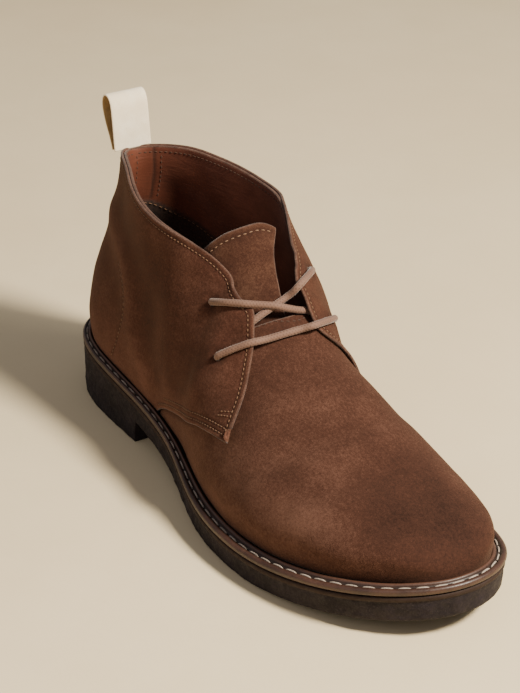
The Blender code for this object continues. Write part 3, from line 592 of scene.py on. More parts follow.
# --------------------------------------------------------- helpers (materials)
class Look:
    """a node material whose coordinates are in millimetres on the object"""

    def __init__(self, name, rough=0.8, spec=0.3, **consts):
        self.m = bpy.data.materials.new(name)
        self.m.use_nodes = True
        self.nt = self.m.node_tree
        self.b = self.nt.nodes["Principled BSDF"]
        self.b.inputs["Roughness"].default_value = rough
        self.b.inputs["Specular IOR Level"].default_value = spec
        for k, v in consts.items():
            self.b.inputs[k.replace("_", " ")].default_value = v
        tc = self.nt.nodes.new("ShaderNodeTexCoord")
        sc = self.nt.nodes.new("ShaderNodeVectorMath")
        sc.operation = "SCALE"
        sc.inputs["Scale"].default_value = 1000.0
        self.nt.links.new(tc.outputs["Object"], sc.inputs[0])
        self.mm = sc.outputs[0]
        self.tc = tc

    def put(self, sock, val):
        if hasattr(val, "is_linked"):
            self.nt.links.new(val, sock)
        else:
            sock.default_value = val

    def math(self, op, a, b=None, c=None, clamp=False):
        n = self.nt.nodes.new("ShaderNodeMath")
        n.operation = op
        n.use_clamp = clamp
        for k, v in enumerate((a, b, c)):
            if v is not None:
                self.put(n.inputs[k], v)
        return n.outputs[0]

    def stretch(self, sx, sy, sz, rot=(0, 0, 0), src=None):
        n = self.nt.nodes.new("ShaderNodeMapping")
        n.inputs["Scale"].default_value = (sx, sy, sz)
        n.inputs["Rotation"].default_value = rot
        self.nt.links.new(src or self.mm, n.inputs["Vector"])
        return n.outputs[0]

    def noise(self, size, detail=3.0, rough=0.55, distort=0.0, src=None):
        n = self.nt.nodes.new("ShaderNodeTexNoise")
        n.inputs["Scale"].default_value = 1.0 / size
        n.inputs["Detail"].default_value = detail
        n.inputs["Roughness"].default_value = rough
        n.inputs["Distortion"].default_value = distort
        self.nt.links.new(src or self.mm, n.inputs["Vector"])
        return n.outputs["Fac"]

    def cells(self, size, feature="F1", src=None, rand=1.0):
        n = self.nt.nodes.new("ShaderNodeTexVoronoi")
        n.feature = feature
        n.inputs["Scale"].default_value = 1.0 / size
        n.inputs["Randomness"].default_value = rand
        self.nt.links.new(src or self.mm, n.inputs["Vector"])
        return n.outputs["Distance"]

    def attr(self, name):
        n = self.nt.nodes.new("ShaderNodeAttribute")
        n.attribute_name = name
        return n.outputs["Fac"]

    def ramp(self, fac, stops, ease="EASE"):
        n = self.nt.nodes.new("ShaderNodeValToRGB")
        n.color_ramp.interpolation = ease
        el = n.color_ramp.elements
        while len(el) < len(stops):
            el.new(0.5)
        for e, (p, c) in zip(el, stops):
            e.position = p
            e.color = (*c, 1) if len(c) == 3 else c
        self.nt.links.new(fac, n.inputs["Fac"])
        return n.outputs["Color"]

    def level(self, fac, lo, hi, out0=0.0, out1=1.0):
        n = self.nt.nodes.new("ShaderNodeMapRange")
        n.interpolation_type = "SMOOTHSTEP"
        for k, v in (("From Min", lo), ("From Max", hi), ("To Min", out0), ("To Max", out1)):
            n.inputs[k].default_value = v
        self.nt.links.new(fac, n.inputs["Value"])
        return n.outputs["Result"]

    def mix(self, fac, a, b):
        n = self.nt.nodes.new("ShaderNodeMix")
        n.data_type = "RGBA"
        self.put(n.inputs[0], fac)
        self.put(n.inputs[6], (*a, 1) if isinstance(a, tuple) else a)
        self.put(n.inputs[7], (*b, 1) if isinstance(b, tuple) else b)
        return n.outputs[2]

    def bump(self, height, dist_mm, strength=1.0, after=None):
        n = self.nt.nodes.new("ShaderNodeBump")
        n.inputs["Strength"].default_value = strength
        n.inputs["Distance"].default_value = dist_mm * MM
        self.nt.links.new(height, n.inputs["Height"])
        if after is not None:
            self.nt.links.new(after, n.inputs["Normal"])
        return n.outputs["Normal"]

    def colour(self, c):
        self.put(self.b.inputs["Base Color"], c)

    def roughness(self, r):
        self.put(self.b.inputs["Roughness"], r)

    def normal(self, n):
        self.nt.links.new(n, self.b.inputs["Normal"])


def suede(name, dark, mid, light, offset=0.0):
    k = Look(name, rough=0.93, spec=0.10, Sheen_Weight=SUEDE_SHEEN, Sheen_Roughness=0.5,
             Sheen_Tint=(0.80, 0.48, 0.32, 1))
    cloud = k.noise(46, 2.5, 0.5, 0.4)
    patch = k.noise(11.0, 3.5, 0.55, 0.4)
    fleck = k.noise(1.3, 5.0, 0.75, 0.3)
    nap = k.noise(0.40, 3.0, 0.8)
    brushed = k.noise(3.0, 3.0, 0.6, 0.0, k.stretch(0.30, 1.0, 1.0, (0.2, 0.5, 0.7)))
    s = k.math("MULTIPLY_ADD", cloud, 0.22, 0.5 - 0.11 + offset)
    s = k.math("MULTIPLY_ADD", k.math("SUBTRACT", patch, 0.5), 0.14, s)
    s = k.math("MULTIPLY_ADD", k.math("SUBTRACT", fleck, 0.5), 0.92, s)
    s = k.math("MULTIPLY_ADD", k.math("SUBTRACT", nap, 0.5), 0.85, s)
    s = k.math("MULTIPLY_ADD", k.math("SUBTRACT", brushed, 0.5), 0.20, s)
    # the per-point offsets carry random tone plus painted highlights and painted shade
    s = k.math("MULTIPLY_ADD", k.attr("shade"), 0.5, s)
    k.colour(k.ramp(s, [(0.08, dark), (0.5, mid), (0.92, light)], "LINEAR"))
    k.roughness(k.level(s, 0.2, 0.8, 0.82, 0.98))
    n = k.bump(patch, 0.30, 0.25)
    n = k.bump(fleck, 0.26, 0.6, n)
    k.normal(k.bump(nap, 0.14, 0.7, n))
    return k.m


def thread(name, colour, size=0.5):
    k = Look(name, rough=0.7, spec=0.25, Sheen_Weight=0.1)
    f = k.noise(size, 2.0, 0.7)
    g = k.noise(9, 2.0, 0.5)
    dark = tuple(c * 0.55 for c in colour)
    c = k.mix(k.level(f, 0.3, 0.62), dark, colour)
    k.colour(k.mix(k.level(g, 0.35, 0.7, 0.0, 0.35), c, tuple(c2 * 0.6 for c2 in colour)))
    k.normal(k.bump(f, 0.12, 0.6))
    return k.m


SUEDE_SHEEN = 0.14
SUEDE = suede("suede_quarters", (0.0150, 0.0053, 0.0033), (0.0495, 0.0178, 0.0108), (0.121, 0.054, 0.036))
SUEDE_V = suede("suede_vamp", (0.0140, 0.0051, 0.0032), (0.0445, 0.0171, 0.0106), (0.111, 0.0525, 0.0355))
SUEDE_T = suede("suede_tongue", (0.0150, 0.0056, 0.0033), (0.0372, 0.0140, 0.0084), (0.092, 0.044, 0.027))

k = Look("cut_edge", rough=0.85, spec=0.2, Sheen_Weight=0.15)
f = k.noise(0.9, 4.0, 0.7)
g = k.noise(7, 3.0, 0.6)
c = k.mix(k.level(f, 0.3, 0.7), (0.042, 0.018, 0.011), (0.125, 0.062, 0.041))
k.colour(k.mix(k.level(g, 0.4, 0.65, 0.0, 0.6), c, (0.032, 0.013, 0.008)))
k.normal(k.bump(f, 0.15, 0.6))
EDGE = k.m

k = Look("lining_leather", rough=0.5, spec=0.38, Sheen_Weight=0.05)
grain = k.cells(0.9, "DISTANCE_TO_EDGE")
fold = k.noise(5.5, 3.0, 0.55, 1.4, k.stretch(0.45, 0.45, 1.9))
soft = k.noise(20, 3.0, 0.5)
c = k.mix(k.level(soft, 0.35, 0.7), (0.095, 0.026, 0.013), (0.150, 0.046, 0.024))
# painted shade in the valleys of the lining's wrinkles
c = k.mix(k.level(fold, 0.30, 0.5, 0.45, 0.0), c, (0.085, 0.026, 0.013))
c = k.mix(k.attr("seam"), c, (0.040, 0.014, 0.008))
grip = k.mix(k.level(k.noise(1.6, 4.0, 0.7), 0.3, 0.7), (0.014, 0.007, 0.005), (0.042, 0.019, 0.012))
k.colour(k.mix(k.attr("grip"), c, grip))
k.roughness(k.math("MULTIPLY_ADD", k.attr("grip"), 0.38, 0.5))
n = k.bump(fold, 0.5, 0.4)
k.normal(k.bump(grain, 0.10, 0.5, n))
LINING = k.m

k = Look("rubber_crepe", rough=0.78, spec=0.2)
cloud = k.noise(16, 4.0, 0.6, 0.5)
fine = k.noise(0.75, 4.0, 0.7)
spot = k.cells(1.7)
crepe = k.noise(2.6, 5.0, 0.65, 0.8)
c = k.mix(k.level(cloud, 0.35, 0.68), (0.0086, 0.0057, 0.0074), (0.0185, 0.0129, 0.0160))
c = k.mix(k.level(fine, 0.52, 0.68, 0.0, 0.55), c, (0.042, 0.032, 0.034))
c = k.mix(k.level(fine, 0.30, 0.42, 0.8, 0.0), c, (0.005, 0.004, 0.004))
c = k.mix(k.attr("dust"), c, (0.015, 0.0125, 0.0125))
k.colour(k.mix(k.attr("lip"), c, (0.026, 0.014, 0.010)))
k.roughness(k.level(crepe, 0.3, 0.7, 0.58, 0.86))
n = k.bump(crepe, 0.5, 0.5)
n = k.bump(spot, 0.18, 0.35, n)
k.normal(k.bump(fine, 0.12, 0.5, n))
RUBBER = k.m

k = Look("welt_leather", rough=0.42, spec=0.42, Coat_Weight=0.12, Coat_Roughness=0.35)
soft = k.noise(12, 4.0, 0.6)
fine = k.noise(0.9, 4.0, 0.7)
wear = k.noise(4.5, 4.0, 0.7)
c = k.mix(k.level(soft, 0.35, 0.68), (0.030, 0.0125, 0.0080), (0.055, 0.0235, 0.0148))
c = k.mix(k.attr("bead"), c, (0.082, 0.037, 0.023))
c = k.mix(k.level(fine, 0.30, 0.48, 0.4, 0.0), c, (0.018, 0.008, 0.005))
c = k.mix(k.level(wear, 0.58, 0.75, 0.0, 0.30), c, (0.095, 0.050, 0.030))
# painted shade in the welt's stitch channel and under the upper's edge
k.colour(k.mix(k.attr("groove"), c, (0.012, 0.0065, 0.0045)))
k.roughness(k.level(fine, 0.3, 0.7, 0.36, 0.6))
k.normal(k.bump(fine, 0.10, 0.45, k.bump(wear, 0.25, 0.3)))
WELT_M = k.m

k = Look("footbed_leather", rough=0.55, spec=0.3)
soft = k.noise(18, 4.0, 0.6)
pore = k.cells(0.8, "DISTANCE_TO_EDGE")
c = k.mix(k.level(soft, 0.35, 0.7), (0.050, 0.017, 0.010), (0.105, 0.038, 0.021))
k.colour(k.mix(k.attr("seam"), c, (0.020, 0.009, 0.006)))
k.normal(k.bump(pore, 0.10, 0.5))
FOOTBED = k.m

k = Look("lace_cord", rough=0.75, spec=0.25, Sheen_Weight=0.25, Sheen_Roughness=0.4)
fine = k.noise(0.35, 3.0, 0.75)
soft = k.noise(11, 3.0, 0.5)
# darker between the braid's strands: painted shade
c = k.mix(k.level(k.attr("braid"), 0.0, 0.85), (0.075, 0.038, 0.027), (0.168, 0.094, 0.067))
c = k.mix(k.level(fine, 0.35, 0.65, 0.35, 0.0), c, (0.075, 0.040, 0.028))
k.colour(k.mix(k.level(soft, 0.4, 0.7, 0.0, 0.30), c, (0.205, 0.120, 0.088)))
k.normal(k.bump(fine, 0.10, 0.6))
LACE = k.m


def woven(name, a, b, dark):
    k = Look(name, rough=0.88, spec=0.2, Sheen_Weight=0.2, Sheen_Roughness=0.5)
    uv = k.nt.nodes.new("ShaderNodeUVMap")
    uv.uv_map = "flat"
    sp = k.nt.nodes.new("ShaderNodeSeparateXYZ")
    k.nt.links.new(uv.outputs[0], sp.inputs[0])
    su = k.math("SINE", k.math("MULTIPLY", sp.outputs[0], 2 * math.pi / 0.62))
    sv = k.math("SINE", k.math("MULTIPLY", sp.outputs[1], 2 * math.pi / 0.62))
    w = k.math("MULTIPLY", su, sv)
    h = k.math("MULTIPLY_ADD", w, 0.5, 0.5)
    fine = k.noise(0.5, 4.0, 0.7)
    soft = k.noise(9, 3.0, 0.6)
    c = k.mix(k.level(soft, 0.35, 0.7), a, b)
    # darker between the woven threads: painted shade
    c = k.mix(k.level(h, 0.0, 0.5, 0.30, 0.0), c, dark)
    k.colour(k.mix(k.level(fine, 0.3, 0.5, 0.35, 0.0), c, dark))
    k.normal(k.bump(fine, 0.10, 0.4, k.bump(h, 0.14, 0.55)))
    return k.m


STRAP = woven("strap_cream", (0.780, 0.655, 0.470), (0.860, 0.755, 0.580), (0.560, 0.440, 0.290))
STRAP_IN = woven("strap_back", (0.330, 0.205, 0.080), (0.420, 0.275, 0.120), (0.200, 0.115, 0.040))
THREAD_W = thread("thread_welt", (0.390, 0.315, 0.260), 0.7)
THREAD_S = thread("thread_tan", (0.165, 0.085, 0.045), 0.4)
# dark brown thread for the rows inside the shaft, and painted shade for the throat row, which lies in shade
THREAD_BROWN_SHADED = thread("thread_brown", (0.070, 0.032, 0.018), 0.4)
THREAD_T = thread("thread_light", (0.210, 0.118, 0.068), 0.4)


# --------------------------------------------------------------- soft creases
# side, height (+ ridge, - trough), half width, line on the quarters (x, z)
FOLDS = [(-1, 1.15, 7.5, [(20, 101), (31, 97.9), (45.8, 93.5), (57.5, 87.6), (67.3, 75.5), (73.5, 59.1), (87.1, 40.2)]),
         (-1, -0.60, 9.0, [(40, 110), (58, 103), (74, 93), (86, 78), (92, 60), (102, 46)]),
         (-1, -0.35, 8.0, [(10, 92), (25, 88), (38, 82), (50, 72), (56, 56), (58, 42)]),
         (-1, 0.35, 8.0, [(104, 104), (103, 90), (108, 74), (112, 60)]),
         (-1, -0.35, 8.0, [(120, 104), (118, 90), (124, 76), (130, 66)]),
         (-1, 0.70, 5.5, [(157, 72), (150.3, 66.8), (144, 60)]),
         (-1, -0.70, 5.0, [(141, 76), (137.5, 69.3), (133, 60), (124, 53)]),
         (1, 0.9, 7.5, [(18, 104), (32, 98), (50, 90), (64, 80), (72, 62), (80, 42)]),
         (1, -0.6, 8.0, [(34, 110), (54, 104), (70, 92), (82, 76), (88, 58)]),
         (1, 0.4, 8.0, [(96, 108), (100, 92), (108, 76), (118, 60)]),
         (1, -0.4, 7.5, [(112, 104), (118, 88), (128, 72), (138, 60)])]
# height, half width, line on the vamp seen from above (x, y)
VAMP_FOLDS = [(-0.45, 6.0, [(196, -46), (204, -34), (210, -18), (212, 0), (208, 20), (202, 38)]),
              (0.35, 6.0, [(208, -46), (216, -32), (222, -14), (223, 4), (219, 22)]),
              (-0.35, 6.0, [(186, -44), (192, -30), (197, -12)]),
              (0.40, 7.0, [(178, -36), (184, -22), (187, -6), (184, 12)]),
              (-0.35, 7.0, [(168, -30), (174, -14), (174, 6), (170, 22)]),
              (0.30, 6.0, [(236, -40), (246, -26), (252, -8)]),
              (-0.30, 6.5, [(228, -42), (236, -26), (240, -8), (238, 10)])]


def quarter_line(side, xz, step=1.0):
    c = curve(xz, 60) if len(xz) > 2 else np.asarray(xz, float)
    return resample(half_points(c[:, 0], c[:, 1], side, quarter_half), step)


def fold_lift(p):
    out = np.zeros(len(p))
    for side, h, w, xz in FOLDS:
        out += h * bell(near(p, quarter_line(side, xz)), w)
    return out + 0.16 * ripple(p, 34, 5) + 0.05 * ripple(p, 12, 6)


def vamp_lift(p):
    out = np.zeros(len(p))
    for h, w, xy in VAMP_FOLDS:
        c = curve(xy, 50)
        d = near(p[:, :2], c)
        out += h * bell(d, w) * np.clip((p[:, 2] - 22) / 12, 0, 1)
    return out + 0.14 * ripple(p, 34, 15) + 0.04 * ripple(p, 13, 16)


def half_points(x, z, side, fn):
    return np.stack([x, side * fn(x, z, side).reshape(x.shape), z], -1)


def vamp_mix(x):
    return smooth(132, 156, x)


# ---------------------------------------------------------------- quarters
Q_COLS, Q_ROWS = 200, 84
q_halves = []
for side, collar, foot in ((-1, COLLAR_OUT, FLAP_FOOT_OUT), (1, COLLAR_IN, FLAP_FOOT_IN)):
    top = paced(curve(collar, 1500), Q_COLS)
    ft = curve(foot, 800)
    qa = float(q_of(np.array([ft[0, 0]]), feather(ft[0, 0]))[0])
    xx = x_of(np.linspace(0, qa, 500), np.full(500, feather(0.0)))
    lead = np.stack([xx, feather(xx) + GAP], 1)
    bottom = paced(np.vstack([lead, ft]), Q_COLS)
    x, z = girth(lambda a, b, s=side: half_points(a, b, s, quarter_half), bottom, top, Q_ROWS)
    q_halves.append((side, x, z))
q_skin = Skin([half_points(x, z, s, quarter_half) for s, x, z in q_halves], [False, True])
base = q_skin.gather([half_points(x, z, s, quarter_half) for s, x, z in q_halves])
nrm = q_skin.normals(base)
w = q_skin.field([vamp_mix(x) for s, x, z in q_halves])
side_of = q_skin.field([np.full(x.shape, s) for s, x, z in q_halves])
lining = base - nrm * (WALL_QUARTER + GAP)
vm = q_skin.gather([half_points(x, z, s, vamp_half) for s, x, z in q_halves])
under = lining * (1 - w)[:, None] + vm * w[:, None]
un_ = q_skin.smoothed(q_skin.normals(under), 3)
un_ /= np.linalg.norm(un_, axis=1)[:, None]
over = under + un_ * (WALL_QUARTER + GAP + 0.15 + 2.4 * w * (1 - w))[:, None]
lift = np.clip((base[:, 1] - over[:, 1]) * side_of, 0, None) * w
over[:, 1] += lift * side_of
rim_of = []
for s, x, z in q_halves:
    on = np.zeros(x.shape)
    on[:, :1] = on[:, -1:] = 1
    on[-1:] = 1
    rim_of.append(on)
over = q_skin.smoothed(over, 2, keep=q_skin.field(rim_of))


def bring_in(v, width):
    """the inner flap's free edge reaches across toward the tongue"""
    idx = q_skin.index[1]
    e = v[idx[:, -1]]
    reach = np.array(REACH)
    amount = np.interp(e[:, 2], reach[:, 0], reach[:, 1]) * (e[:, 0] > 100)
    amount = soften(amount[:, None], 10)[:, 0]
    ids = np.unique(idx)
    p = v[ids]
    d2 = (p ** 2).sum(1)[:, None] - 2 * p @ e.T + (e ** 2).sum(1)[None]
    k_ = d2.argmin(1)
    d = np.sqrt(np.maximum(d2.min(1), 0))
    g = np.clip(1 - d / width, 0, 1) ** 1.55
    v = v.copy()
    v[ids] += np.array([0.0, -0.95, 0.31]) * (amount[k_] * g)[:, None]
    # and stays clear of the vamp under it
    xs_ = np.linspace(138, 200, 90)
    tt_ = np.linspace(0, 1, 60)
    gx_ = np.repeat(xs_[:, None], 60, 1)
    gz_ = feather(gx_) + (ridge_z(gx_) - 0.05 - feather(gx_)) * tt_[None]
    vamp = half_points(gx_, gz_, 1, vamp_half)
    idx_ = np.arange(90 * 60).reshape(90, 60)
    fq = np.stack([idx_[:-1, :-1], idx_[1:, :-1], idx_[1:, 1:], idx_[:-1, 1:]], -1).reshape(-1, 4)
    tree = tree_of(vamp.reshape(-1, 3), fq)
    for i in ids:
        if v[i, 0] < 142 or v[i, 2] < 46:
            continue
        a_, n_, _, _ = tree.find_nearest(Vector(v[i]))
        a_, n_ = np.array(a_), np.array(n_)
        if n_[1] < 0 or (abs(n_[1]) < 0.05 and n_[2] < 0):
            n_ = -n_
        h_ = float(np.dot(v[i] - a_, n_))
        if h_ < 2.0 and np.linalg.norm(v[i] - a_) < 14:
            v[i] = v[i] + n_ * (2.0 - h_) * min(1.0, (v[i, 0] - 142) / 9)
    return v


# height of the flap's edge and how far it comes across (mm)
REACH = [(46, 0), (55, 4), (65, 11), (75, 15), (83, 17), (90, 17), (98, 14.5), (106, 10.5), (113, 7), (119, 4), (125, 1.5), (130, 0)]
over = bring_in(over, 22.0)
over = q_skin.smoothed(over, 3, keep=q_skin.field(rim_of))
nrm = q_skin.normals(over)
# the outer flap rides over the strand that passes beneath it
over = over + nrm * (2.7 * bell(np.linalg.norm(over - [153.4, -15.5, 93.4], axis=1), 7.2))[:, None]
nrm = q_skin.normals(over)


def quarter_point(side, x, z):
    h = 0 if side < 0 else 1
    _, gx, gz = q_halves[h]
    d = ((gx - x) ** 2 + (gz - z) ** 2).ravel()
    ids = q_skin.index[h].ravel()[np.argsort(d)[:12]]
    wt = 1 / (np.sort(d)[:12] + 1.0)
    p = (over[ids] * wt[:, None]).sum(0) / wt.sum()
    n = (nrm[ids] * wt[:, None]).sum(0)
    return p, n / np.linalg.norm(n)


eyelet_at = [quarter_point(s, x, z) for s, x, z in EYELETS]
# the flaps thin out to nothing at the vamp, and pucker at holes and rows
foot_edge = [over[q_skin.index[h][:, 0]] for h in (0, 1)]
top_edge = [over[q_skin.index[h][:, -1]] for h in (0, 1)]


def edge_row(h, which, dist, skip=(0, 0)):
    """line on the quarters at a distance inside an edge"""
    idx = q_skin.index[h]
    e = over[idx[:, -1 if which == "top" else 0]]
    s = over[idx[:, -3 if which == "top" else 2]]
    t = np.gradient(e, axis=0)
    t /= np.maximum(np.linalg.norm(t, axis=1), 1e-9)[:, None]
    d = s - e
    d -= t * (d * t).sum(1)[:, None]
    d /= np.maximum(np.linalg.norm(d, axis=1), 1e-9)[:, None]
    p = soften(e + d * dist, 4)
    p = resample(p, 0.5)
    a, b = int(skip[0] / 0.5), int(skip[1] / 0.5)
    return p[a:len(p) - b]


foot_from = [float(np.argmax(q_halves[h][1][:, 0] > (99 if h == 0 else 94))) for h in (0, 1)]


def foot_row(h, dist, skip=(0, 0)):
    p = edge_row(h, "foot", dist)
    x0 = 101 if h == 0 else 96
    p = p[(p[:, 0] > x0)]
    a, b = int(skip[0] / 0.5), int(skip[1] / 0.5)
    return p[a:len(p) - b]


collar_rows = [edge_row(h, "top", 2.5, (1.5, 2.5)) for h in (0, 1)]
front_rows = []
for h in (0, 1):
    p = edge_row(h, "top", 4.6, (0, 5.0))
    front_rows.append(p[(p[:, 2] < 84)])
foot_rows = [foot_row(h, 2.1, (0, 2.5)) for h in (0, 1)] + [foot_row(h, 5.0, (9, 7)) for h in (0, 1)]
COUNTER_OUT = [(51.0, 86.5), (57.5, 80.0), (61.8, 71.5), (62.5, 62), (60.0, 53), (56.5, 44.5), (51.5, 35.5)]
COUNTER_IN = [(40, 85.5), (47.5, 83.0), (54.5, 78.0), (58.0, 71.5), (57.5, 63), (57.0, 55), (58.5, 45), (62.0, 35.0)]
counter_rows = [quarter_line(-1, COUNTER_OUT, 0.5), quarter_line(1, COUNTER_IN, 0.5)]
back_seam = resample(np.stack([back_x(np.linspace(34, 126, 90)), np.zeros(90), np.linspace(34, 126, 90)], 1), 0.5)

bars = [quarter_line(-1, [(174.2, 62.6), (170.5, 61.8), (166.8, 60.6)], 0.5),
        quarter_line(-1, [(173.0, 60.6), (169.5, 59.8), (166.4, 58.8)], 0.5),
        quarter_line(1, [(167.5, 57.0), (163.5, 56.3), (160.0, 55.2)], 0.5),
        quarter_line(1, [(167.0, 55.0), (163.2, 54.4), (160.0, 53.4)], 0.5)]

disp = fold_lift(over)
edge_near = np.minimum(near(over, np.vstack(top_edge)), near(over, np.vstack([foot_edge[0][foot_edge[0][:, 0] > 98], foot_edge[1][foot_edge[1][:, 0] > 92]])))
calm = np.clip(edge_near / 9.0, 0.25, 1.0)
front_zone = smooth(118, 140, over[:, 0])
disp *= calm * (1 - 0.35 * front_zone)
rows_all = np.vstack(collar_rows + foot_rows + counter_rows)
sunk = -0.28 * bell(near(over, rows_all), 1.0) - 0.35 * bell(near(over, back_seam), 1.1)
for p, n in eyelet_at:
    d = near(over, p[None])
    sunk += -0.55 * bell(d, 3.4) + 0.22 * bell(d - 5.2, 2.0)
# slight curl of the free edges
curl = 0.35 * bell(edge_near, 2.2) * front_zone
over_f = over + nrm * (disp + sunk + curl)[:, None]
nrm = q_skin.normals(over_f)
nrm = q_skin.smoothed(nrm, 1)
nrm /= np.linalg.norm(nrm, axis=1)[:, None]
q_tree = tree_of(over_f, q_skin.faces)

# colour offsets for the quarter suede: random tone and lighter cut edges; painted highlights along the fold ridges and
# in a streak below the front of the collar; painted shade in the fold troughs, in a band below the rear half of the
# collar and along the sunk stitch rows; painted fill light on the lower quarters
ridge_l = near(over_f, quarter_line(*[FOLDS[0][k] for k in (0, 3)]))
shade = (0.30 * bell(ridge_l, 5.0) + 0.05 * ripple(over_f, 26, 31) + 0.03 * ripple(over_f, 8, 32)
         - 0.50 * bell(near(over_f, rows_all), 0.8)
         + 0.30 * bell(edge_near, 1.1)
         + 0.20 * bell(near(over_f, quarter_line(-1, FOLDS[5][3])), 6)
         - 0.22 * bell(near(over_f, quarter_line(-1, FOLDS[6][3])), 5)
         - 0.25 * bell(near(over_f, quarter_line(-1, FOLDS[1][3])), 7)
         + 0.16 * bell(near(over_f, quarter_line(-1, [(90, 116), (104, 111), (116, 104)])), 8)
         - 0.18 * bell(near(over_f, quarter_line(-1, [(36, 118), (60, 112), (84, 104), (98, 92)])), 9)
         + 0.46 * smooth(66, 34, over_f[:, 2]))
# painted shade in the dimple round each lace hole
for p, n in eyelet_at:
    shade += -0.6 * bell(near(over_f, p[None]), 3.4)
v, f, kind, src = thick(over_f, q_skin.faces, nrm, WALL_QUARTER, 5, 0.8)
kind = [0 if k_ == 2 and ((v[q[0]][0] > 120 and v[q[0]][2] < 56) or (v[q[0]][0] > 165 and v[q[0]][2] < 72)) else k_ for k_, q in zip(kind, f)]
quarters = build("quarters_suede", v, f, [SUEDE, EDGE, LINING], kind,
                 attrs={"shade": shade[src], "seam": np.zeros(len(src)), "grip": np.zeros(len(src))},
                 stands_for=["quarters"])


def punch(target, holes, radius):
    """round holes through a body"""
    for p, n in holes:
        u = np.cross(n, [0, 0, 1.0])
        u /= np.linalg.norm(u)
        w_ = np.cross(n, u)
        vs = [p + n * e + (u * math.cos(a) + w_ * math.sin(a)) * radius
              for e in (-4.0, 3.0) for a in np.arange(36) * math.pi / 18]
        fs = [[i, (i + 1) % 36, (i + 1) % 36 + 36, i + 36] for i in range(36)]
        fs += [list(range(36))[::-1], [i + 36 for i in range(36)]]
        me = bpy.data.meshes.new("punch")
        me.from_pydata([tuple((q + SHIFT) * MM) for q in vs], [], fs)
        me.materials.append(EDGE)
        cut = bpy.data.objects.new("punch", me)
        bpy.context.scene.collection.objects.link(cut)
        mod = target.modifiers.new("punch", "BOOLEAN")
        mod.operation, mod.solver, mod.object = "DIFFERENCE", "EXACT", cut
        mod.material_mode = "TRANSFER"
        bpy.context.view_layer.update()
        dg = bpy.context.evaluated_depsgraph_get()
        new = bpy.data.meshes.new_from_object(target.evaluated_get(dg))
        target.modifiers.clear()
        old = target.data
        new.name = old.name + "_cut"
        target.data = new
        bpy.data.objects.remove(cut, do_unlink=True)


punch(quarters, [(p + n * -0.4, n) for p, n in eyelet_at], EYELET_R)

# ---------------------------------------------------- vamp with lining (upper)
U_BACK, U_FRONT, U_ROWS = 120, 112, 72
u_halves = []
for side, collar, throat in ((-1, COLLAR_OUT, THROAT_OUT), (1, COLLAR_IN, THROAT_IN)):
    c = curve(collar, 1200)
    c = c[c[:, 0] < 110]
    t = curve(throat, 400)
    top_a = np.vstack([c - [0, 0.45], t])
    uz = float(ridge_z(t[-1, 0]))
    top_a[-1, 1] = uz
    zb = feather(BACK[0][0]) + GAP
    qa = q_of(np.array([t[-1, 0]]), feather(t[-1, 0]))[0]
    xx = x_of(np.linspace(0, qa, 600), np.full(600, zb))
    bot_a = np.stack([xx, feather(xx) + GAP], 1)
    r = ridge[ridge[:, 0] >= t[-1, 0]][::-1]
    top_b = np.vstack([[t[-1, 0], uz], r])
    xx = x_of(np.linspace(qa, q_of(np.array([TIP_X]), 30)[0], 600), np.full(600, 30.0))
    bot_b = np.stack([xx, feather(xx) + GAP], 1)
    b1, t1 = paced(bot_a, U_BACK), paced(top_a, U_BACK)
    b2, t2 = paced(bot_b, U_FRONT), paced(top_b, U_FRONT)
    t2[:, 0] = 0.65 * t2[:, 0] + 0.35 * b2[:, 0]
    t2[:, 1] = ridge_z(x_of(t2[:, 0], t2[:, 1]))
    t2[0], t2[-1] = t1[-1], (q_of(np.array([TIP_X]), 30)[0], RIDGE[0][1])
    bottom, top = np.vstack([b1, b2[1:]]), np.vstack([t1, t2[1:]])
    x, z = girth(lambda a, b, s=side: half_points(a, b, s, lambda p, q, o: (
        (1 - vamp_mix(p)) * quarter_half(p, q, o) + vamp_mix(p) * vamp_half(p, q, o))), bottom, top, U_ROWS)
    u_halves.append((side, x, z))
u_grids = []
for side, x, z in u_halves:
    q = quarter_half(x, z, side).reshape(x.shape)
    v = vamp_half(x, z, side).reshape(x.shape)
    ww = vamp_mix(x)
    u_grids.append(np.stack([x, side * ((1 - ww) * q + ww * v), z], -1))
u_skin = Skin(u_grids, [False, True])
ub = u_skin.gather(u_grids)
un = u_skin.normals(ub)
uw = u_skin.field([vamp_mix(x) for s, x, z in u_halves])
near_top = np.clip(1 - near(ub, np.vstack([curve_pts for curve_pts in top_edge])) / 7.0, 0, 1)
shown = np.zeros(len(ub))
for h, (foot, x0) in enumerate(((FLAP_FOOT_OUT, 98), (FLAP_FOOT_IN, 92))):
    fx, fz = curve(foot, 400).T
    m_ = (np.sign(ub[:, 1]) == (-1, 1)[h]) & (ub[:, 0] > x0 - 1)
    shown = np.where(m_, smooth(0.2, 3.2, np.interp(ub[:, 0], fx, fz) - ub[:, 2]), shown)
u_out = ub - un * ((1 - uw) * (WALL_QUARTER + GAP + 0.25 - 0.45 * near_top) * (1 - 0.86 * shown))[:, None]
fl = fold_lift(ub) * (1 - uw) * 0.9
# under the flaps the vamp stays at its drawn place
cover = smooth(172, 186, ub[:, 0])
u_disp = fl * np.clip(near(ub, np.vstack(top_edge)) / 9.0, 0.25, 1.0) + vamp_lift(ub) * uw * (0.25 + 0.75 * cover)
u_disp = np.where(uw > 0.02, np.minimum(u_disp, 0.05 + 0.6 * cover), u_disp)
seam_row = line3([(150.5, -15.0, 91.5), (153.2, -11.0, 93.6), (157.0, -5.0, 94.6), (160.0, 2.0, 94.3),
                  (159.5, 8.0, 93.0), (156.0, 13.0, 91.0)], 0.5)
u_f = u_out + un * u_disp[:, None]
un = u_skin.normals(u_f)
un = u_skin.smoothed(un, 2)
un /= np.linalg.norm(un, axis=1)[:, None]
u_tree = tree_of(u_f, u_skin.faces)

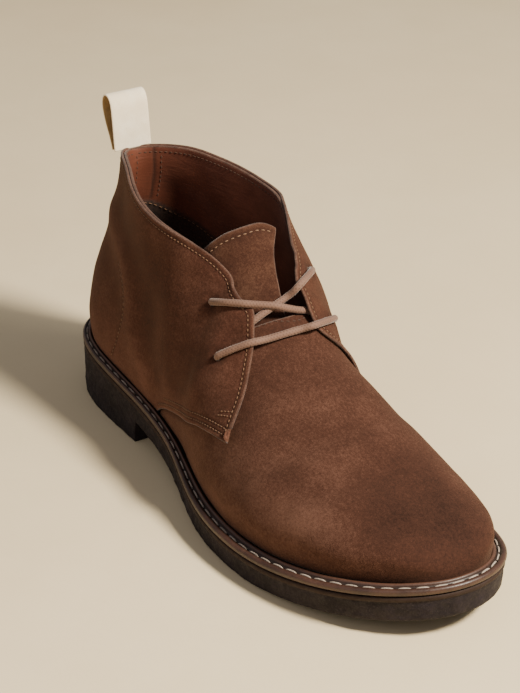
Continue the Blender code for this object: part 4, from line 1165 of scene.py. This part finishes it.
# heel grip inside: its upper edge drops from the back to the waist (x, z)
GRIP = [(2, 97), (9, 97.4), (17.7, 92.8), (28, 89.4), (39.9, 86.4), (60, 81.5), (80, 75.5), (100, 66), (118, 54), (130, 40)]
gx, gz = curve(GRIP, 300).T
gap_z = np.interp(ub[:, 0], gx, gz) - ub[:, 2]
grip_v = smooth(-0.5, 0.8, gap_z) * (1 - smooth(104, 140, ub[:, 0])) + smooth(104, 140, ub[:, 0])
seam_v = np.zeros(len(ub))
for yy in (-11.0, 11.0):
    seam_v = np.maximum(seam_v, bell(ub[:, 1] - yy, 0.75) * (ub[:, 0] < 28) * (gap_z < 0))
seam_v = np.maximum(seam_v, 0.55 * bell(gap_z, 0.9) * (ub[:, 0] < 118))
inset = 0.45 * grip_v * (ub[:, 0] < 132) - 0.28 * seam_v
# colour offsets for the vamp suede: random tone; a darker toe cap and toe front, partly burnish and partly painted
# shade; painted fill light low on the outer side; streaks of painted highlight and painted shade over the vamp's folds
# and toe; painted shade along the welt where the upper draws in and along the throat stitch row
vamp_tone_and_light = (0.05 * ripple(u_f, 30, 41) + 0.03 * ripple(u_f, 9, 42)
       - 0.36 * bell(np.linalg.norm((u_f - [264, -6, 46]) * [1, 0.8, 1.0], axis=1), 24)
       - 0.30 * smooth(276, 296, u_f[:, 0])
       + 0.34 * smooth(-20, -40, u_f[:, 1]) * smooth(62, 38, u_f[:, 2])
       - 0.30 * bell(near(u_f, line3([(240, 18, 50), (262, 20, 45), (276, 14, 42)])), 12)
       + 0.26 * bell(near(u_f, line3([(206, -30, 53), (218, -22, 56), (232, -18, 53)])), 9)
       + 0.24 * bell(near(u_f, line3([(236, -38, 38), (250, -30, 40), (262, -26, 38)])), 8)
       + 0.20 * bell(near(u_f, line3([(228, 22, 53), (244, 26, 47), (256, 26, 42)])), 8)
       - 0.20 * bell(near(u_f, line3([(196, -44, 40), (206, -40, 46), (216, -34, 50)])), 8)
       + 0.18 * bell(near(u_f, line3([(186, -20, 70), (196, -4, 68), (200, 12, 66)])), 10)
       - 0.28 * np.clip((feather(u_f[:, 0]) + 7 - u_f[:, 2]) / 6, 0, 1)
       - 0.30 * bell(near(u_f, seam_row), 1.0))
edge_shadow = near(u_f, np.vstack([foot_edge[0][foot_edge[0][:, 0] > 98], foot_edge[1][foot_edge[1][:, 0] > 92],
                                   top_edge[0][top_edge[0][:, 0] > 154], top_edge[1][top_edge[1][:, 0] > 152]]))
# painted shadow of the flaps' edges on the vamp
vamp_tone_and_light += -0.30 * bell(edge_shadow, 2.2)
v, f, kind, src = thick(u_f, u_skin.faces, un, WALL_UPPER + inset, 5, 0.8)
build("vamp_and_lining", v, f, [SUEDE_V, EDGE, LINING], kind,
      attrs={"shade": vamp_tone_and_light[src], "seam": seam_v[src], "grip": grip_v[src]},
      stands_for=["upper"])
u_in = u_f - un * (WALL_UPPER + inset)[:, None]
in_tree = tree_of(u_in, u_skin.faces[:, ::-1])

# ------------------------------------------------------------------- tongue
T_R, T_C = 84, 56
rows_t = curve(TONGUE, T_R)
centre = rows_t[:, :3]
d = np.gradient(centre, axis=0)
d /= np.linalg.norm(d, axis=1)[:, None]
tg = np.zeros((T_R, T_C, 3))
tt = np.linspace(-1, 1, T_C)
for i in range(T_R):
    x, y, z, r, a, b = rows_t[i]
    n = np.cross(d[i], [0, 1.0, 0])
    n /= np.linalg.norm(n)
    if n[2] < 0:
        n = -n
    a = a - 4.5 * float(smooth(0.35, 0.8, i / (T_R - 1.0)))
    b = b - float(np.interp(i / (T_R - 1.0), [0, 0.15, 0.35, 0.55, 0.75, 1.0], [3.5, 5.5, 5.3, 3.4, 1.8, 0.0]))
    dy = a + (b - a) * (tt + 1) / 2
    drop = r - np.sqrt(np.maximum(r * r - dy * dy, 1.0))
    top = float(smooth(0.72, 1.0, i / (T_R - 1.0)))
    off = top * 9.0 * np.maximum(0.0, np.abs(tt) - 0.35) ** 2
    tg[i] = centre[i] + np.stack([0 * dy, dy, 0 * dy], 1) - n * drop[:, None] - d[i] * off[:, None]
t_skin = Skin([tg], [False])
tv = t_skin.gather([tg])
tn = t_skin.normals(tv)
if tn[t_skin.index[0][T_R // 2, T_C // 2], 2] < 0:
    t_skin = Skin([tg], [True])
    tv = t_skin.gather([tg])
    tn = t_skin.normals(tv)
tongue_top = tg[-1]
inner = tg[-3]
rowp = soften(tongue_top + (inner - tongue_top) / np.linalg.norm(inner - tongue_top, axis=1)[:, None] * 3.0, 4)[3:-3]
rowp = resample(rowp, 0.5)
tv2 = tv + tn * (TONGUE_T / 2 + 0.16 * ripple(tv, 16, 51) + 0.05 * ripple(tv, 6, 52)
                 - 0.22 * bell(near(tv, rowp), 0.9))[:, None]
# colour offsets for the tongue: random tone and a lighter cut top edge; painted shade along the stitch row and over the
# lower tongue deep in the throat
tongue_tone_and_light = (0.10 * ripple(tv, 14, 53) - 0.32 * bell(near(tv, rowp), 0.9)
       + 0.30 * bell(near(tv, tongue_top), 1.2) + 0.10 - 0.25 * smooth(104, 92, tv[:, 2]))
v, f, kind, src = thick(tv2, t_skin.faces, tn, TONGUE_T, 5, 0.9)
build("tongue_suede", v, f, [SUEDE_T, EDGE, LINING], kind,
      attrs={"shade": tongue_tone_and_light[src], "seam": np.zeros(len(src)), "grip": np.zeros(len(src))},
      stands_for=["tongue"])
t_tree = tree_of(tv2, t_skin.faces)

# ------------------------------------------------------------ stitched rows
q_rows = [snap(q_tree, p) for p in collar_rows + foot_rows]
v, f = stitches(q_rows, 2.3, 1.5, 0.29, 0.45, wob=0.05)
build("stitch_edges", v, f, [THREAD_S])
v, f = stitches([snap(q_tree, p) for p in bars], 1.7, 1.25, 0.28, 0.45, wob=0.03, seed=5)
build("stitch_bars", v, f, [THREAD_S])
v, f = stitches([snap(q_tree, p) for p in counter_rows], 2.8, 1.8, 0.30, 0.45, wob=0.05, seed=6)
build("stitch_counter", v, f, [THREAD_S])
v, f = stitches([snap(t_tree, rowp)], 2.9, 2.0, 0.30, 0.35, wob=0.06, seed=7)
build("stitch_tongue", v, f, [THREAD_T])
# the throat row takes the dark thread as painted shade
v, f = stitches([snap(u_tree, seam_row)], 2.9, 2.0, 0.28, 0.3, wob=0.06, seed=8)
build("stitch_throat", v, f, [THREAD_BROWN_SHADED])
inside = []
for h in (0, 1):
    p = collar_rows[h]
    p = p[p[:, 0] < 106]
    pts, nn = snap(in_tree, p - [0, 0, 0.4])
    inside.append((pts, nn))
arc = []
for s in (-1, 1):
    c = curve(GRIP, 200)
    c = c[(c[:, 0] < 112) & (c[:, 0] > 5)] - [0, 2.0]
    pts = half_points(c[:, 0], c[:, 1], s, quarter_half) - [0, s * 3.2, 0]
    arc.append(snap(in_tree, resample(pts, 0.5)))
v, f = stitches(inside, 2.7, 1.9, 0.27, 0.3, wob=0.05, seed=9)
build("stitch_lining", v, f, [THREAD_BROWN_SHADED])
v, f = stitches(arc, 2.8, 2.0, 0.27, 0.3, wob=0.05, seed=10)
build("stitch_heel_grip", v, f, [THREAD_S])
strip = []
for yy in (-12.6, 12.6, 0.8):
    zz = np.linspace(98.5, 124, 60)
    xx = np.array([np.interp(abs(yy), np.maximum.accumulate(quarter_half(np.linspace(back_x(q) + 0.01, 40, 120), q, 1)),
                             np.linspace(back_x(q) + 0.01, 40, 120)) for q in zz])
    strip.append(snap(in_tree, np.stack([xx + 3.2, np.full(60, yy), zz], 1)))
v, f = stitches(strip, 2.7, 1.9, 0.25, 0.3, wob=0.05, seed=11)
build("stitch_back_strip", v, f, [THREAD_BROWN_SHADED])

# ------------------------------------------------------------- sole pieces
def stations(x0, x1):
    heel = x0 + (BREAST_X - x0) * (1 - np.cos(np.linspace(0, 1, 62) * np.pi / 2))
    step = BREAST_X + np.array([0.25, 0.8, 1.35, 1.6])
    waist = np.linspace(BREAST_X + 1.6, 214, 112)[1:]
    toe = 214 + (x1 - 214) * np.sin(np.linspace(0, 1, 84)[1:] * np.pi / 2)
    return np.r_[heel, step, waist, toe]


def sides_at(off):
    d = np.roll(outline, -1, 0) - np.roll(outline, 1, 0)
    d /= np.linalg.norm(d, axis=1)[:, None]
    slim = np.where(off > 0, 0.60 + 0.40 * smooth(110, 190, outline[:, 0]), 1.0)
    o = outline + np.stack([d[:, 1], -d[:, 0]], 1) * (off * slim)[:, None]
    o = np.roll(o, -int(np.argmin(o[:, 0])), 0)
    b = int(np.argmax(o[:, 0]))
    lat, med = o[:b + 1], np.vstack([o[b:], o[:1]])[::-1]
    x = stations(o[0, 0], o[b, 0])
    yl = np.interp(x, np.maximum.accumulate(lat[:, 0]), lat[:, 1])
    ym = np.interp(x, np.maximum.accumulate(med[:, 0]), med[:, 1])
    return x, yl, ym


def ring(off, dz, base_):
    x, yl, ym = sides_at(off)
    z = base_(x) + dz
    a = np.stack([x, yl, z], 1)
    b = np.stack([x, ym, z], 1)[1:-1][::-1]
    return np.vstack([a, b])


def tread_z(x):
    t = np.asarray(TREAD, float)
    z = np.maximum(along(t[:, 0], t[:, 1], x), 0)
    z = np.where((x >= 169.9) & (x <= 214.1), 0, z)
    z = np.where(x <= BREAST_X + 0.01, 0, z)
    return z * smooth(BREAST_X, BREAST_X + 1.6, x) if np.ndim(x) else z


def sole_top(x):
    return feather(x) - WELT_T - GAP


def ring_faces(n, m, closed):
    fs = []
    for j in range(m if closed else m - 1):
        j2 = (j + 1) % m
        a = j * n + np.arange(n)
        b = j * n + (np.arange(n) + 1) % n
        c = j2 * n + (np.arange(n) + 1) % n
        d_ = j2 * n + np.arange(n)
        fs += np.stack([a, b, c, d_], 1).tolist()
    return fs


# welt: sweep of one profile (offset from the upper's outline, height over the feather line)
WELT_PROFILE = [(-5.2, -3.4), (0.0, -3.45), (4.6, -3.45), (5.3, -3.35), (5.85, -3.0), (6.15, -2.45), (6.25, -1.8),
                (6.15, -1.15), (5.85, -0.6), (5.35, -0.2), (4.8, 0.0), (4.25, 0.02), (3.85, -0.12), (3.55, -0.42),
                (3.30, -0.85), (3.0, -1.05), (2.5, -1.1), (2.0, -1.05), (1.65, -0.85), (1.42, -0.35), (1.25, 0.15),
                (0.95, 0.55), (0.50, 0.78), (0.0, 0.78), (-0.45, 0.55), (-0.75, 0.15), (-0.95, -0.35), (-1.5, -0.6),
                (-3.0, -0.6), (-5.2, -0.6)]
rings = [ring(o, dz, feather) for o, dz in WELT_PROFILE]
n = len(rings[0])
v = np.vstack(rings)
off_of = np.repeat([o for o, _ in WELT_PROFILE], n)
dz_of = np.repeat([dz for _, dz in WELT_PROFILE], n)
v = v + np.stack([np.zeros(len(v)), np.zeros(len(v)), 0.07 * ripple(v, 14, 61) * (dz_of > -1.2)], 1)
# painted shade: darker in the welt's stitch channel and where the welt runs in under the upper
groove = np.clip(bell(off_of - 2.5, 1.1) * 1.3, 0, 1) * (dz_of < -0.3) * (dz_of > -1.3)
groove = np.maximum(groove, (off_of < -0.6) * 1.0)
bead = bell(off_of - 0.4, 0.75) * (dz_of > 0.1)
build("welt_strip", v, [q[::-1] for q in ring_faces(n, len(rings), True)], [WELT_M],
      attrs={"groove": groove, "bead": bead}, stands_for=["welt"])
x, yl, ym = sides_at(2.55)
loop_ = np.vstack([np.stack([x, yl, feather(x) - 0.80], 1), np.stack([x, ym, feather(x) - 0.80], 1)[1:][::-1]])
loop_ = resample(loop_, 0.6)
up = np.tile([0, 0, 1.0], (len(loop_), 1))
v, f = stitches([(loop_, up)], 8.0, 6.4, 0.43, 0.5, sides=8, cuts=9, wob=0.12, seed=12)
build("stitch_welt", v, f, [THREAD_W])

# outsole: side wall, underside with a shallow rippled tread, top
WALL = [("t", 0.0, 3.2), ("t", 0.12, 3.8), ("t", 0.45, 4.25), ("t", 0.95, 4.5), ("t", 1.6, 4.62)]
WALL += [("m", q, 4.62 + 0.42 * q) for q in np.linspace(0.08, 0.94, 12)]
WALL += [("s", -3.3, 5.06), ("s", -2.9, 5.08), ("s", -2.6, 5.16), ("s", -2.35, 5.42), ("s", -2.0, 5.66), ("s", -1.5, 5.78),
         ("s", -0.9, 5.76), ("s", -0.45, 5.62), ("s", -0.15, 5.36), ("s", 0.0, 4.9)]


def wall_z(kind_, q, x):
    lo, hi = tread_z(x), sole_top(x)
    if kind_ == "t":
        return lo + q
    if kind_ == "s":
        return hi + q
    return (lo + 1.6) + (hi - 3.3 - lo - 1.6) * q


rings, lip, dust = [], [], []
for kd, q, off in WALL:
    r = ring(off, 0.0, lambda x, a=kd, b=q: wall_z(a, b, x))
    rings.append(r)
    lip.append(np.full(len(r), 0.85 if kd == "s" and q > -2.7 else 0.0))
n, m = len(rings[0]), len(rings)
v = np.vstack(rings)
c2 = np.array([145.0, -3.0, 0])
d2 = v - c2
wall_n = face_normals(v, np.array(ring_faces(n, m, False)))
amt = np.repeat([0.0, 0.2, 0.5, 0.8, 1] + [1] * 12 + [1, 0.6, 0.3, 0.2, 0.2, 0.2, 0.2, 0.2, 0.1, 0], n)
sgn = np.sign(((v[:, :2] - c2[:2]) * wall_n[:, :2]).sum(1).mean())
v[:, :2] += (wall_n[:, :2] * sgn) * (amt * (0.16 * ripple(v * [1, 1, 1.6], 9, 71) + 0.07 * ripple(v, 3.6, 72)))[:, None]
k_n = len(sides_at(3.2)[0])
faces = ring_faces(n, m, False)
x, yl, ym = sides_at(3.2)
M = 46
s = (1 - np.cos(np.linspace(0, 1, M + 1) * np.pi)) / 2
s = 0.35 * s + 0.65 * np.linspace(0, 1, M + 1)
X = np.repeat(x[:, None], M + 1, 1)
Y = yl[:, None] + (ym - yl)[:, None] * s[None]
edge_d = np.minimum(Y - yl[:, None], ym[:, None] - Y)
edge_d = np.minimum(edge_d, np.minimum(X - x[0], x[-1] - X) * 0.9)
edge_d = np.minimum(edge_d, np.where(X < 80.9, np.abs(X - 80), np.abs(X - 82)))
mask = smooth(4.0, 6.5, edge_d)
wave = np.sin(2 * np.pi * (X + 2.6 * np.sin(2 * np.pi * Y / 17.0)) / 8.5)
Z = tread_z(x)[:, None] + 1.15 * mask * np.clip(wave * 1.8 - 0.35, 0, 1)
cap = np.stack([X, Y, Z], -1)
b0 = len(v)
ids = np.zeros((k_n, M + 1), int)
extra = []
for i in range(k_n):
    for j in range(M + 1):
        if j == 0:
            ids[i, j] = i
        elif i in (0, k_n - 1):
            ids[i, j] = i
        elif j == M:
            ids[i, j] = n - i
        else:
            ids[i, j] = b0 + len(extra)
            extra.append(cap[i, j])
v = np.vstack([v, np.array(extra)])
for i in range(k_n - 1):
    for j in range(M):
        q = [ids[i, j], ids[i, j + 1], ids[i + 1, j + 1], ids[i + 1, j]]
        g = [a for kk, a in enumerate(q) if a != q[kk - 1]]
        if len(g) > 2:
            faces.append([int(a) for a in g])
tb = (m - 1) * n
for i in range(k_n - 1):
    q = [tb + i, tb + i + 1, tb + (n - i - 1) % n, tb + (n - i) % n]
    g = [a for kk, a in enumerate(q) if a != q[kk - 1]]
    faces.append(g)
lip_a = np.r_[np.concatenate(lip), np.zeros(len(extra))]
dust_a = np.r_[np.zeros(n * m), np.zeros(len(extra))]
dust_a = np.clip(dust_a + 0.16 * smooth(5, 0, v[:, 2]) * (0.5 + 0.5 * ripple(v, 9, 73)), 0, 0.4)
vol = 0.0
fa = [q for q in faces if len(q) == 4]
fa = np.array(fa)
vol = (np.einsum("ij,ij->i", v[fa[:, 0]], np.cross(v[fa[:, 1]], v[fa[:, 2]])) + np.einsum(
    "ij,ij->i", v[fa[:, 0]], np.cross(v[fa[:, 2]], v[fa[:, 3]]))).sum()
if vol < 0:
    faces = [q[::-1] for q in faces]
build("outsole_rubber", v, faces, [RUBBER], attrs={"lip": lip_a, "dust": dust_a},
      stands_for=["outsole"])

# footbed with a heel pad
def capped(name, prof, dish, mats, seam_of, stands=(), upto=None):
    rr = [ring(o, dz, feather) for o, dz in prof]
    n_, m_ = len(rr[0]), len(rr)
    vv = np.vstack(rr)
    fs = ring_faces(n_, m_, False)
    x_, a_, b_ = sides_at(prof[-1][0])
    kk_, cols = len(x_), 26
    ids_ = np.zeros((kk_, cols + 1), int)
    ex = []
    for i in range(kk_):
        for j in range(cols + 1):
            if j == 0 or i in (0, kk_ - 1):
                ids_[i, j] = (m_ - 1) * n_ + i
            elif j == cols:
                ids_[i, j] = (m_ - 1) * n_ + n_ - i
            else:
                t_ = j / cols
                y_ = a_[i] + (b_[i] - a_[i]) * t_
                ex.append([x_[i], y_, feather(x_[i]) + prof[-1][1] - dish * math.sin(math.pi * t_)])
                ids_[i, j] = len(vv) + len(ex) - 1
    vv = np.vstack([vv, ex])
    for i in range(kk_ - 1):
        for j in range(cols):
            q_ = [ids_[i, j], ids_[i + 1, j], ids_[i + 1, j + 1], ids_[i, j + 1]]
            g_ = [int(a) for kq, a in enumerate(q_) if a != q_[kq - 1]]
            if len(g_) > 2:
                fs.append(g_)
    low = [ids for ids in range(n_)]
    for i in range(kk_ - 1):
        q_ = [i, (n_ - i) % n_, (n_ - i - 1) % n_, i + 1]
        g_ = [a for kq, a in enumerate(q_) if a != q_[kq - 1]]
        if len(g_) > 2:
            fs.append(g_)
    return build(name, vv, fs, mats, attrs={"seam": seam_of(vv)}, stands_for=stands)


capped("footbed", [(-6.6, -3.4), (-6.6, 0.30), (-6.2, 0.55), (-6.1, 1.2), (-6.1, 2.2), (-6.25, 2.7), (-6.7, 2.95)], 0.9,
       [FOOTBED], lambda p: np.zeros(len(p)), ["insole"])
# heel pad
px_, pl_, pm_ = sides_at(-8.6)
use = px_ < 84
px_, pl_, pm_ = px_[use], pl_[use], pm_[use]
cols = 30
tt = np.linspace(0, 1, cols + 1)
bow = 5.0 * (1 - (2 * tt - 1) ** 2)
gx_ = px_[:, None] + bow[None] * (px_[:, None] > 40) * ((px_[:, None] - 40) / 44)
gy_ = pl_[:, None] + (pm_ - pl_)[:, None] * tt[None]
gz_ = feather(gx_) + 2.95 - 0.9 * np.sin(np.pi * np.clip((gy_ - np.interp(gx_, *sides_at(-6.7)[:2])) / np.maximum(
    np.interp(gx_, sides_at(-6.7)[0], sides_at(-6.7)[2]) - np.interp(gx_, *sides_at(-6.7)[:2]), 1), 0, 1)) + 0.8
hp = Skin([np.stack([gx_, gy_, gz_], -1)], [False])
hv = hp.gather([np.stack([gx_, gy_, gz_], -1)])
hn = hp.normals(hv)
if hn[:, 2].mean() < 0:
    hp = Skin([np.stack([gx_, gy_, gz_], -1)], [True])
    hv = hp.gather([np.stack([gx_, gy_, gz_], -1)])
    hn = hp.normals(hv)
v, f, kind, src = thick(hv, hp.faces, hn, 0.7, 4, 0.9)
build("heel_pad", v, f, [FOOTBED], attrs={"seam": np.zeros(len(src))})

# -------------------------------------------------------------------- laces
CORD_R = 1.72


def cord_body(points, radius=CORD_R, step=0.34, sides=22, phase=0.0):
    c = curve(points, 400)
    c = resample(c, step)
    t = np.gradient(c, axis=0)
    t /= np.linalg.norm(t, axis=1)[:, None]
    u = np.zeros_like(c)
    a = np.cross(t[0], [0, 0, 1.0])
    u[0] = a / np.linalg.norm(a)
    for i in range(1, len(c)):
        a = u[i - 1] - t[i] * np.dot(u[i - 1], t[i])
        u[i] = a / np.linalg.norm(a)
    w_ = np.cross(t, u)
    s_ = np.arange(len(c)) * step
    th = np.arange(sides) * 2 * math.pi / sides
    A = 2 * math.pi * s_[:, None] / 1.55
    h1 = np.sin(A + 4 * th[None] + phase)
    h2 = np.sin(A - 4 * th[None] + phase + 1.3)
    br = np.maximum(h1, h2)
    br = 0.5 + 0.5 * br
    end = np.minimum(s_, s_[-1] - s_)
    cap_ = np.sqrt(np.clip(1 - (1 - np.clip(end / 1.1, 0, 1)) ** 2, 0.02, 1))
    slow = 1 + 0.02 * np.sin(s_ / 3.1) + 0.015 * np.sin(s_ / 1.7 + 1)
    r = radius * (0.955 + 0.06 * br) * (cap_ * slow)[:, None]
    v_ = c[:, None] + (u[:, None] * np.cos(th)[None, :, None] + w_[:, None] * np.sin(th)[None, :, None]) * r[..., None]
    n_ = len(c)
    fs = []
    for i in range(n_ - 1):
        for k_ in range(sides):
            k2 = (k_ + 1) % sides
            fs.append([i * sides + k_, i * sides + k2, (i + 1) * sides + k2, (i + 1) * sides + k_])
    fs.append(list(range(sides))[::-1])
    fs.append([(n_ - 1) * sides + k_ for k_ in range(sides)])
    return v_.reshape(-1, 3), fs, br.ravel()


(eyA, nA), (eyB, nB), (eyC, nC), (eyD, nD) = eyelet_at


def into_hole(ey, n_, nxt, depth, low=1.0):
    """from the far side of the hole up and over onto the leather"""
    a = np.asarray(nxt, float) - ey
    a -= n_ * np.dot(a, n_)
    a /= np.linalg.norm(a)
    return [ey - n_ * depth + a * -0.25, ey - n_ * (0.45 * depth) - a * 0.2, ey + n_ * 0.15 - a * 0.05,
            ey + n_ * 1.25 * low + a * 0.75, ey + n_ * 1.85 * low + a * 2.3]


BAR = [(155.7, -26.9, 84.8), (158.7, -23.1, 87.2), (161.4, -18.9, 89.0), (161.9, -13.5, 88.9),
       (162.7, -8.2, 89.4), (163.7, -2.9, 90.2), (164.3, 2.4, 90.7),
       (164.3, 7.8, 90.7), (164.0, 13.2, 90.4), (163.7, 18.6, 90.1),
       (163.8, 24.0, 90.3), (163.9, 29.3, 90.5), (160.7, 33.2, 88.9)]
TOP = [(139.3, -22.9, 101.0), (142.7, -21.4, 101.9), (145.7, -18.9, 102.3), (148.6, -16.3, 102.6),
       (150.7, -13.0, 102.4), (152.8, -9.7, 102.2), (154.8, -6.3, 102.0),
       (156.2, -2.8, 101.3), (156.6, 0.7, 99.7), (157.1, 4.4, 98.3),
       (157.3, 8.0, 96.9), (157.3, 11.7, 95.7), (157.1, 15.3, 94.2), (156.2, 18.5, 92.1)]
UNDER = [(141.0, 30.6, 105.9), (143.9, 28.6, 107.1), (146.8, 26.4, 108.0), (149.4, 23.8, 108.8),
         (151.0, 20.4, 108.6), (150.9, 17.4, 107.1), (150.9, 14.2, 105.5),
         (151.4, 10.7, 104.3), (152.1, 7.2, 103.3), (152.7, 3.6, 102.4),
         (153.3, 0.1, 101.4), (153.7, -3.4, 100.3), (153.9, -6.9, 99.0), (153.9, -10.3, 97.6)]
UNDER += [(154.0, -12.3, 96.8), (153.8, -14.6, 95.5), (153.6, -16.6, 94.2)]
EYE = np.array([950.9, -503.6, 582.3])


def settle(points, least_y, hole, n_hole):
    """pulls a strand straight from the crossing to its hole on the inner
    flap, lifted along the line of sight where the flap is in its way"""
    p = resample(curve(points, 200), 2.0)
    turned = p[0][1] > p[-1][1]
    if turned:
        p = p[::-1]
    first = int(np.argmax(p[:, 1] >= least_y))
    goal = hole + n_hole * 1.9
    n_ = int(np.linalg.norm(goal - p[first - 1]) / 2.0)
    p = np.vstack([p[:first], p[first - 1] + (goal - p[first - 1]) * np.linspace(0, 1, n_ + 1)[1:, None]])
    near_ = np.zeros(len(p))
    for i in range(first, len(p)):
        q = p[i]
        ray = (q - EYE) / np.linalg.norm(q - EYE)
        hit, n_, _, far = q_tree.ray_cast(Vector(EYE), Vector(ray))
        if hit is None or n_.dot(Vector(ray)) > -0.05:
            continue
        gap_ = far - np.linalg.norm(q - EYE)
        if gap_ > -16:
            near_[i] = max(0.0, (CORD_R + 0.1) / max(0.42, abs(n_.dot(Vector(ray)))) - gap_)
    # it rises onto the flap a little before the flap's edge
    wide = near_.copy()
    for j in (1, 2, 3):
        wide[j:] = np.maximum(wide[j:], near_[:-j] - 0.25 * j)
        wide[:-j] = np.maximum(wide[:-j], near_[j:] - 0.25 * j)
    wide = soften(wide[:, None], 3)
    rays = (p - EYE) / np.linalg.norm(p - EYE, axis=1)[:, None]
    out = p - rays * wide
    off = out - goal
    off -= rays * (off * rays).sum(1)[:, None]
    out = soften(out[np.linalg.norm(off, axis=1) > 2.5], 3)
    return [tuple(q) for q in (out[::-1] if turned else out)]


BAR = settle(BAR, 12.0, eyC, nC)
UNDER = settle(UNDER, 9.5, eyD, nD)
V, F, A = [], [], []
for pts, ph in ((into_hole(eyA, nA, BAR[0], 2.3) + BAR + into_hole(eyC, nC, BAR[-1], 2.3, 0.75)[::-1], 0.0),
                (into_hole(eyB, nB, TOP[0], 4.2) + TOP, 0.9),
                (into_hole(eyD, nD, UNDER[0], 4.2, 0.75) + UNDER, 2.1)):
    v, f, br = cord_body(pts, phase=ph)
    b0 = sum(len(q) for q in V)
    V.append(v)
    F += [[i + b0 for i in q] for q in f]
    A.append(br)
build("lace_round", np.vstack(V), F, [LACE], attrs={"braid": np.concatenate(A)},
      stands_for=["lace_lower_bar", "lace_crossing"])

# ---------------------------------------------------------------- pull loop
LOOP_W, LOOP_T = 20.5, 1.2
LOOP = [(9.4, 127.2), (7.2, 132), (3.6, 138), (0.6, 144), (-0.6, 149),
        (0.6, 153.2), (4.0, 154.6), (7.2, 152.4), (8.8, 147.5), (9.8, 141),
        (10.8, 134), (11.7, 127.2)]
c = curve(LOOP, 120)
t = np.gradient(c, axis=0)
t /= np.linalg.norm(t, axis=1)[:, None]
nn = np.stack([-t[:, 1], t[:, 0]], 1)
s_ = np.r_[0, np.cumsum(np.linalg.norm(np.diff(c, axis=0), axis=1))]
ys = np.linspace(-1, 1, 30)
prof = [(y * LOOP_W / 2, 0.5) for y in ys[1:-1]]
prof = ([(y * LOOP_W / 2, 0.5 * (1 - 0.25 * abs(y) ** 8)) for y in ys] + [(LOOP_W / 2 + 0.22, 0.2), (LOOP_W / 2 + 0.22, -0.2)]
        + [(y * LOOP_W / 2, -0.5 * (1 - 0.25 * abs(y) ** 8)) for y in ys[::-1]] + [(-LOOP_W / 2 - 0.22, -0.2), (-LOOP_W / 2 - 0.22, 0.2)])
vs, uv, kd = [], [], []
fs = []
m = len(prof)
for i in range(len(c)):
    sag = 0.35 * math.sin(s_[i] / s_[-1] * math.pi)
    for y, e in prof:
        bow_ = 0.25 * (1 - (2 * y / LOOP_W) ** 2) + 0.10 * math.sin(y * 0.5 + s_[i] * 0.21)
        px_, pz_ = c[i] + nn[i] * (e * LOOP_T - bow_ * sag)
        vs.append((px_, y * (1 - 0.012 * sag), pz_))
        uv.append((s_[i], y))
for i in range(len(c) - 1):
    for k_ in range(m):
        k2 = (k_ + 1) % m
        fs.append([i * m + k_, (i + 1) * m + k_, (i + 1) * m + k2, i * m + k2])
        kd.append(1 if (k_ >= 31 and k_ < m - 2) else 0)
fs.append(list(range(m)))
fs.append([(len(c) - 1) * m + k_ for k_ in range(m)][::-1])
kd += [0, 0]
vs = np.array(vs)
a = fs[10]
out_dir = np.cross(vs[a[1]] - vs[a[0]], vs[a[3]] - vs[a[0]])
# the outer face of the first leg looks backward
if out_dir[0] > 0:
    fs = [q[::-1] for q in fs]
strap = build("pull_loop_strap", vs, fs, [STRAP, STRAP_IN], kd, uv=uv, stands_for=["pull_loop"])

# ---------------------------------------------------------- floor, light, camera
me = bpy.data.meshes.new("floor")
me.from_pydata([(-4, -4, 0), (4, -4, 0), (4, 4, 0), (-4, 4, 0)], [], [[0, 1, 2, 3]])
floor = bpy.data.objects.new("floor", me)
bpy.context.scene.collection.objects.link(floor)
k = Look("floor_plaster", rough=0.85, spec=0.2)
big = k.noise(260, 4.0, 0.55, 0.4)
mid_ = k.noise(38, 4.0, 0.6)
grit = k.noise(2.2, 3.0, 0.7)
c = k.mix(k.level(big, 0.3, 0.7), FLOOR_A, FLOOR_B)
c = k.mix(k.level(mid_, 0.35, 0.7, 0.0, 0.18), c, FLOOR_C)
k.colour(k.mix(k.level(grit, 0.25, 0.45, 0.14, 0.0), c, FLOOR_D))
k.normal(k.bump(grit, 0.15, 0.25, k.bump(mid_, 0.5, 0.15)))
me.materials.append(k.m)


def area(name, where, size, power, colour=(1, 1, 1), aim=(0, 0, 0.04)):
    li = bpy.data.lights.new(name, "AREA")
    li.shape = "DISK"
    li.size = size
    li.energy = power
    li.color = colour
    ob = bpy.data.objects.new(name, li)
    bpy.context.scene.collection.objects.link(ob)
    ob.location = where
    ob.rotation_euler = (Vector(aim) - Vector(where)).to_track_quat("-Z", "Y").to_euler()
    return ob


for args in LIGHTS:
    area(*args)
world = bpy.data.worlds.new("studio")
bpy.context.scene.world = world
world.use_nodes = True
bg = world.node_tree.nodes["Background"]
bg.inputs["Color"].default_value = WORLD[0]
bg.inputs["Strength"].default_value = WORLD[1]

# camera: the same angle to the boot as in the photo
CAM = np.array([950.9, -503.6, 582.3])
cam = bpy.data.cameras.new("camera")
cam_ob = bpy.data.objects.new("camera", cam)
bpy.context.scene.collection.objects.link(cam_ob)
bpy.context.scene.camera = cam_ob
eye = (CAM + SHIFT) * MM
aim = Vector((np.array(CAM_AIM) + SHIFT) * MM) - Vector(eye)
fwd = aim.normalized()
right = fwd.cross(Vector((0, 0, 1))).normalized()
up = right.cross(fwd)
r2 = right * math.cos(CAM_ROLL) + up * math.sin(CAM_ROLL)
u2 = -right * math.sin(CAM_ROLL) + up * math.cos(CAM_ROLL)
rot = Matrix((r2, u2, -fwd)).transposed().to_4x4()
cam_ob.matrix_world = Matrix.Translation(eye) @ rot
cam.lens = CAM_F * 36.0 / 693.0
cam.sensor_width = 36.0
cam.clip_start = 0.01

bpy.context.view_layer.update()
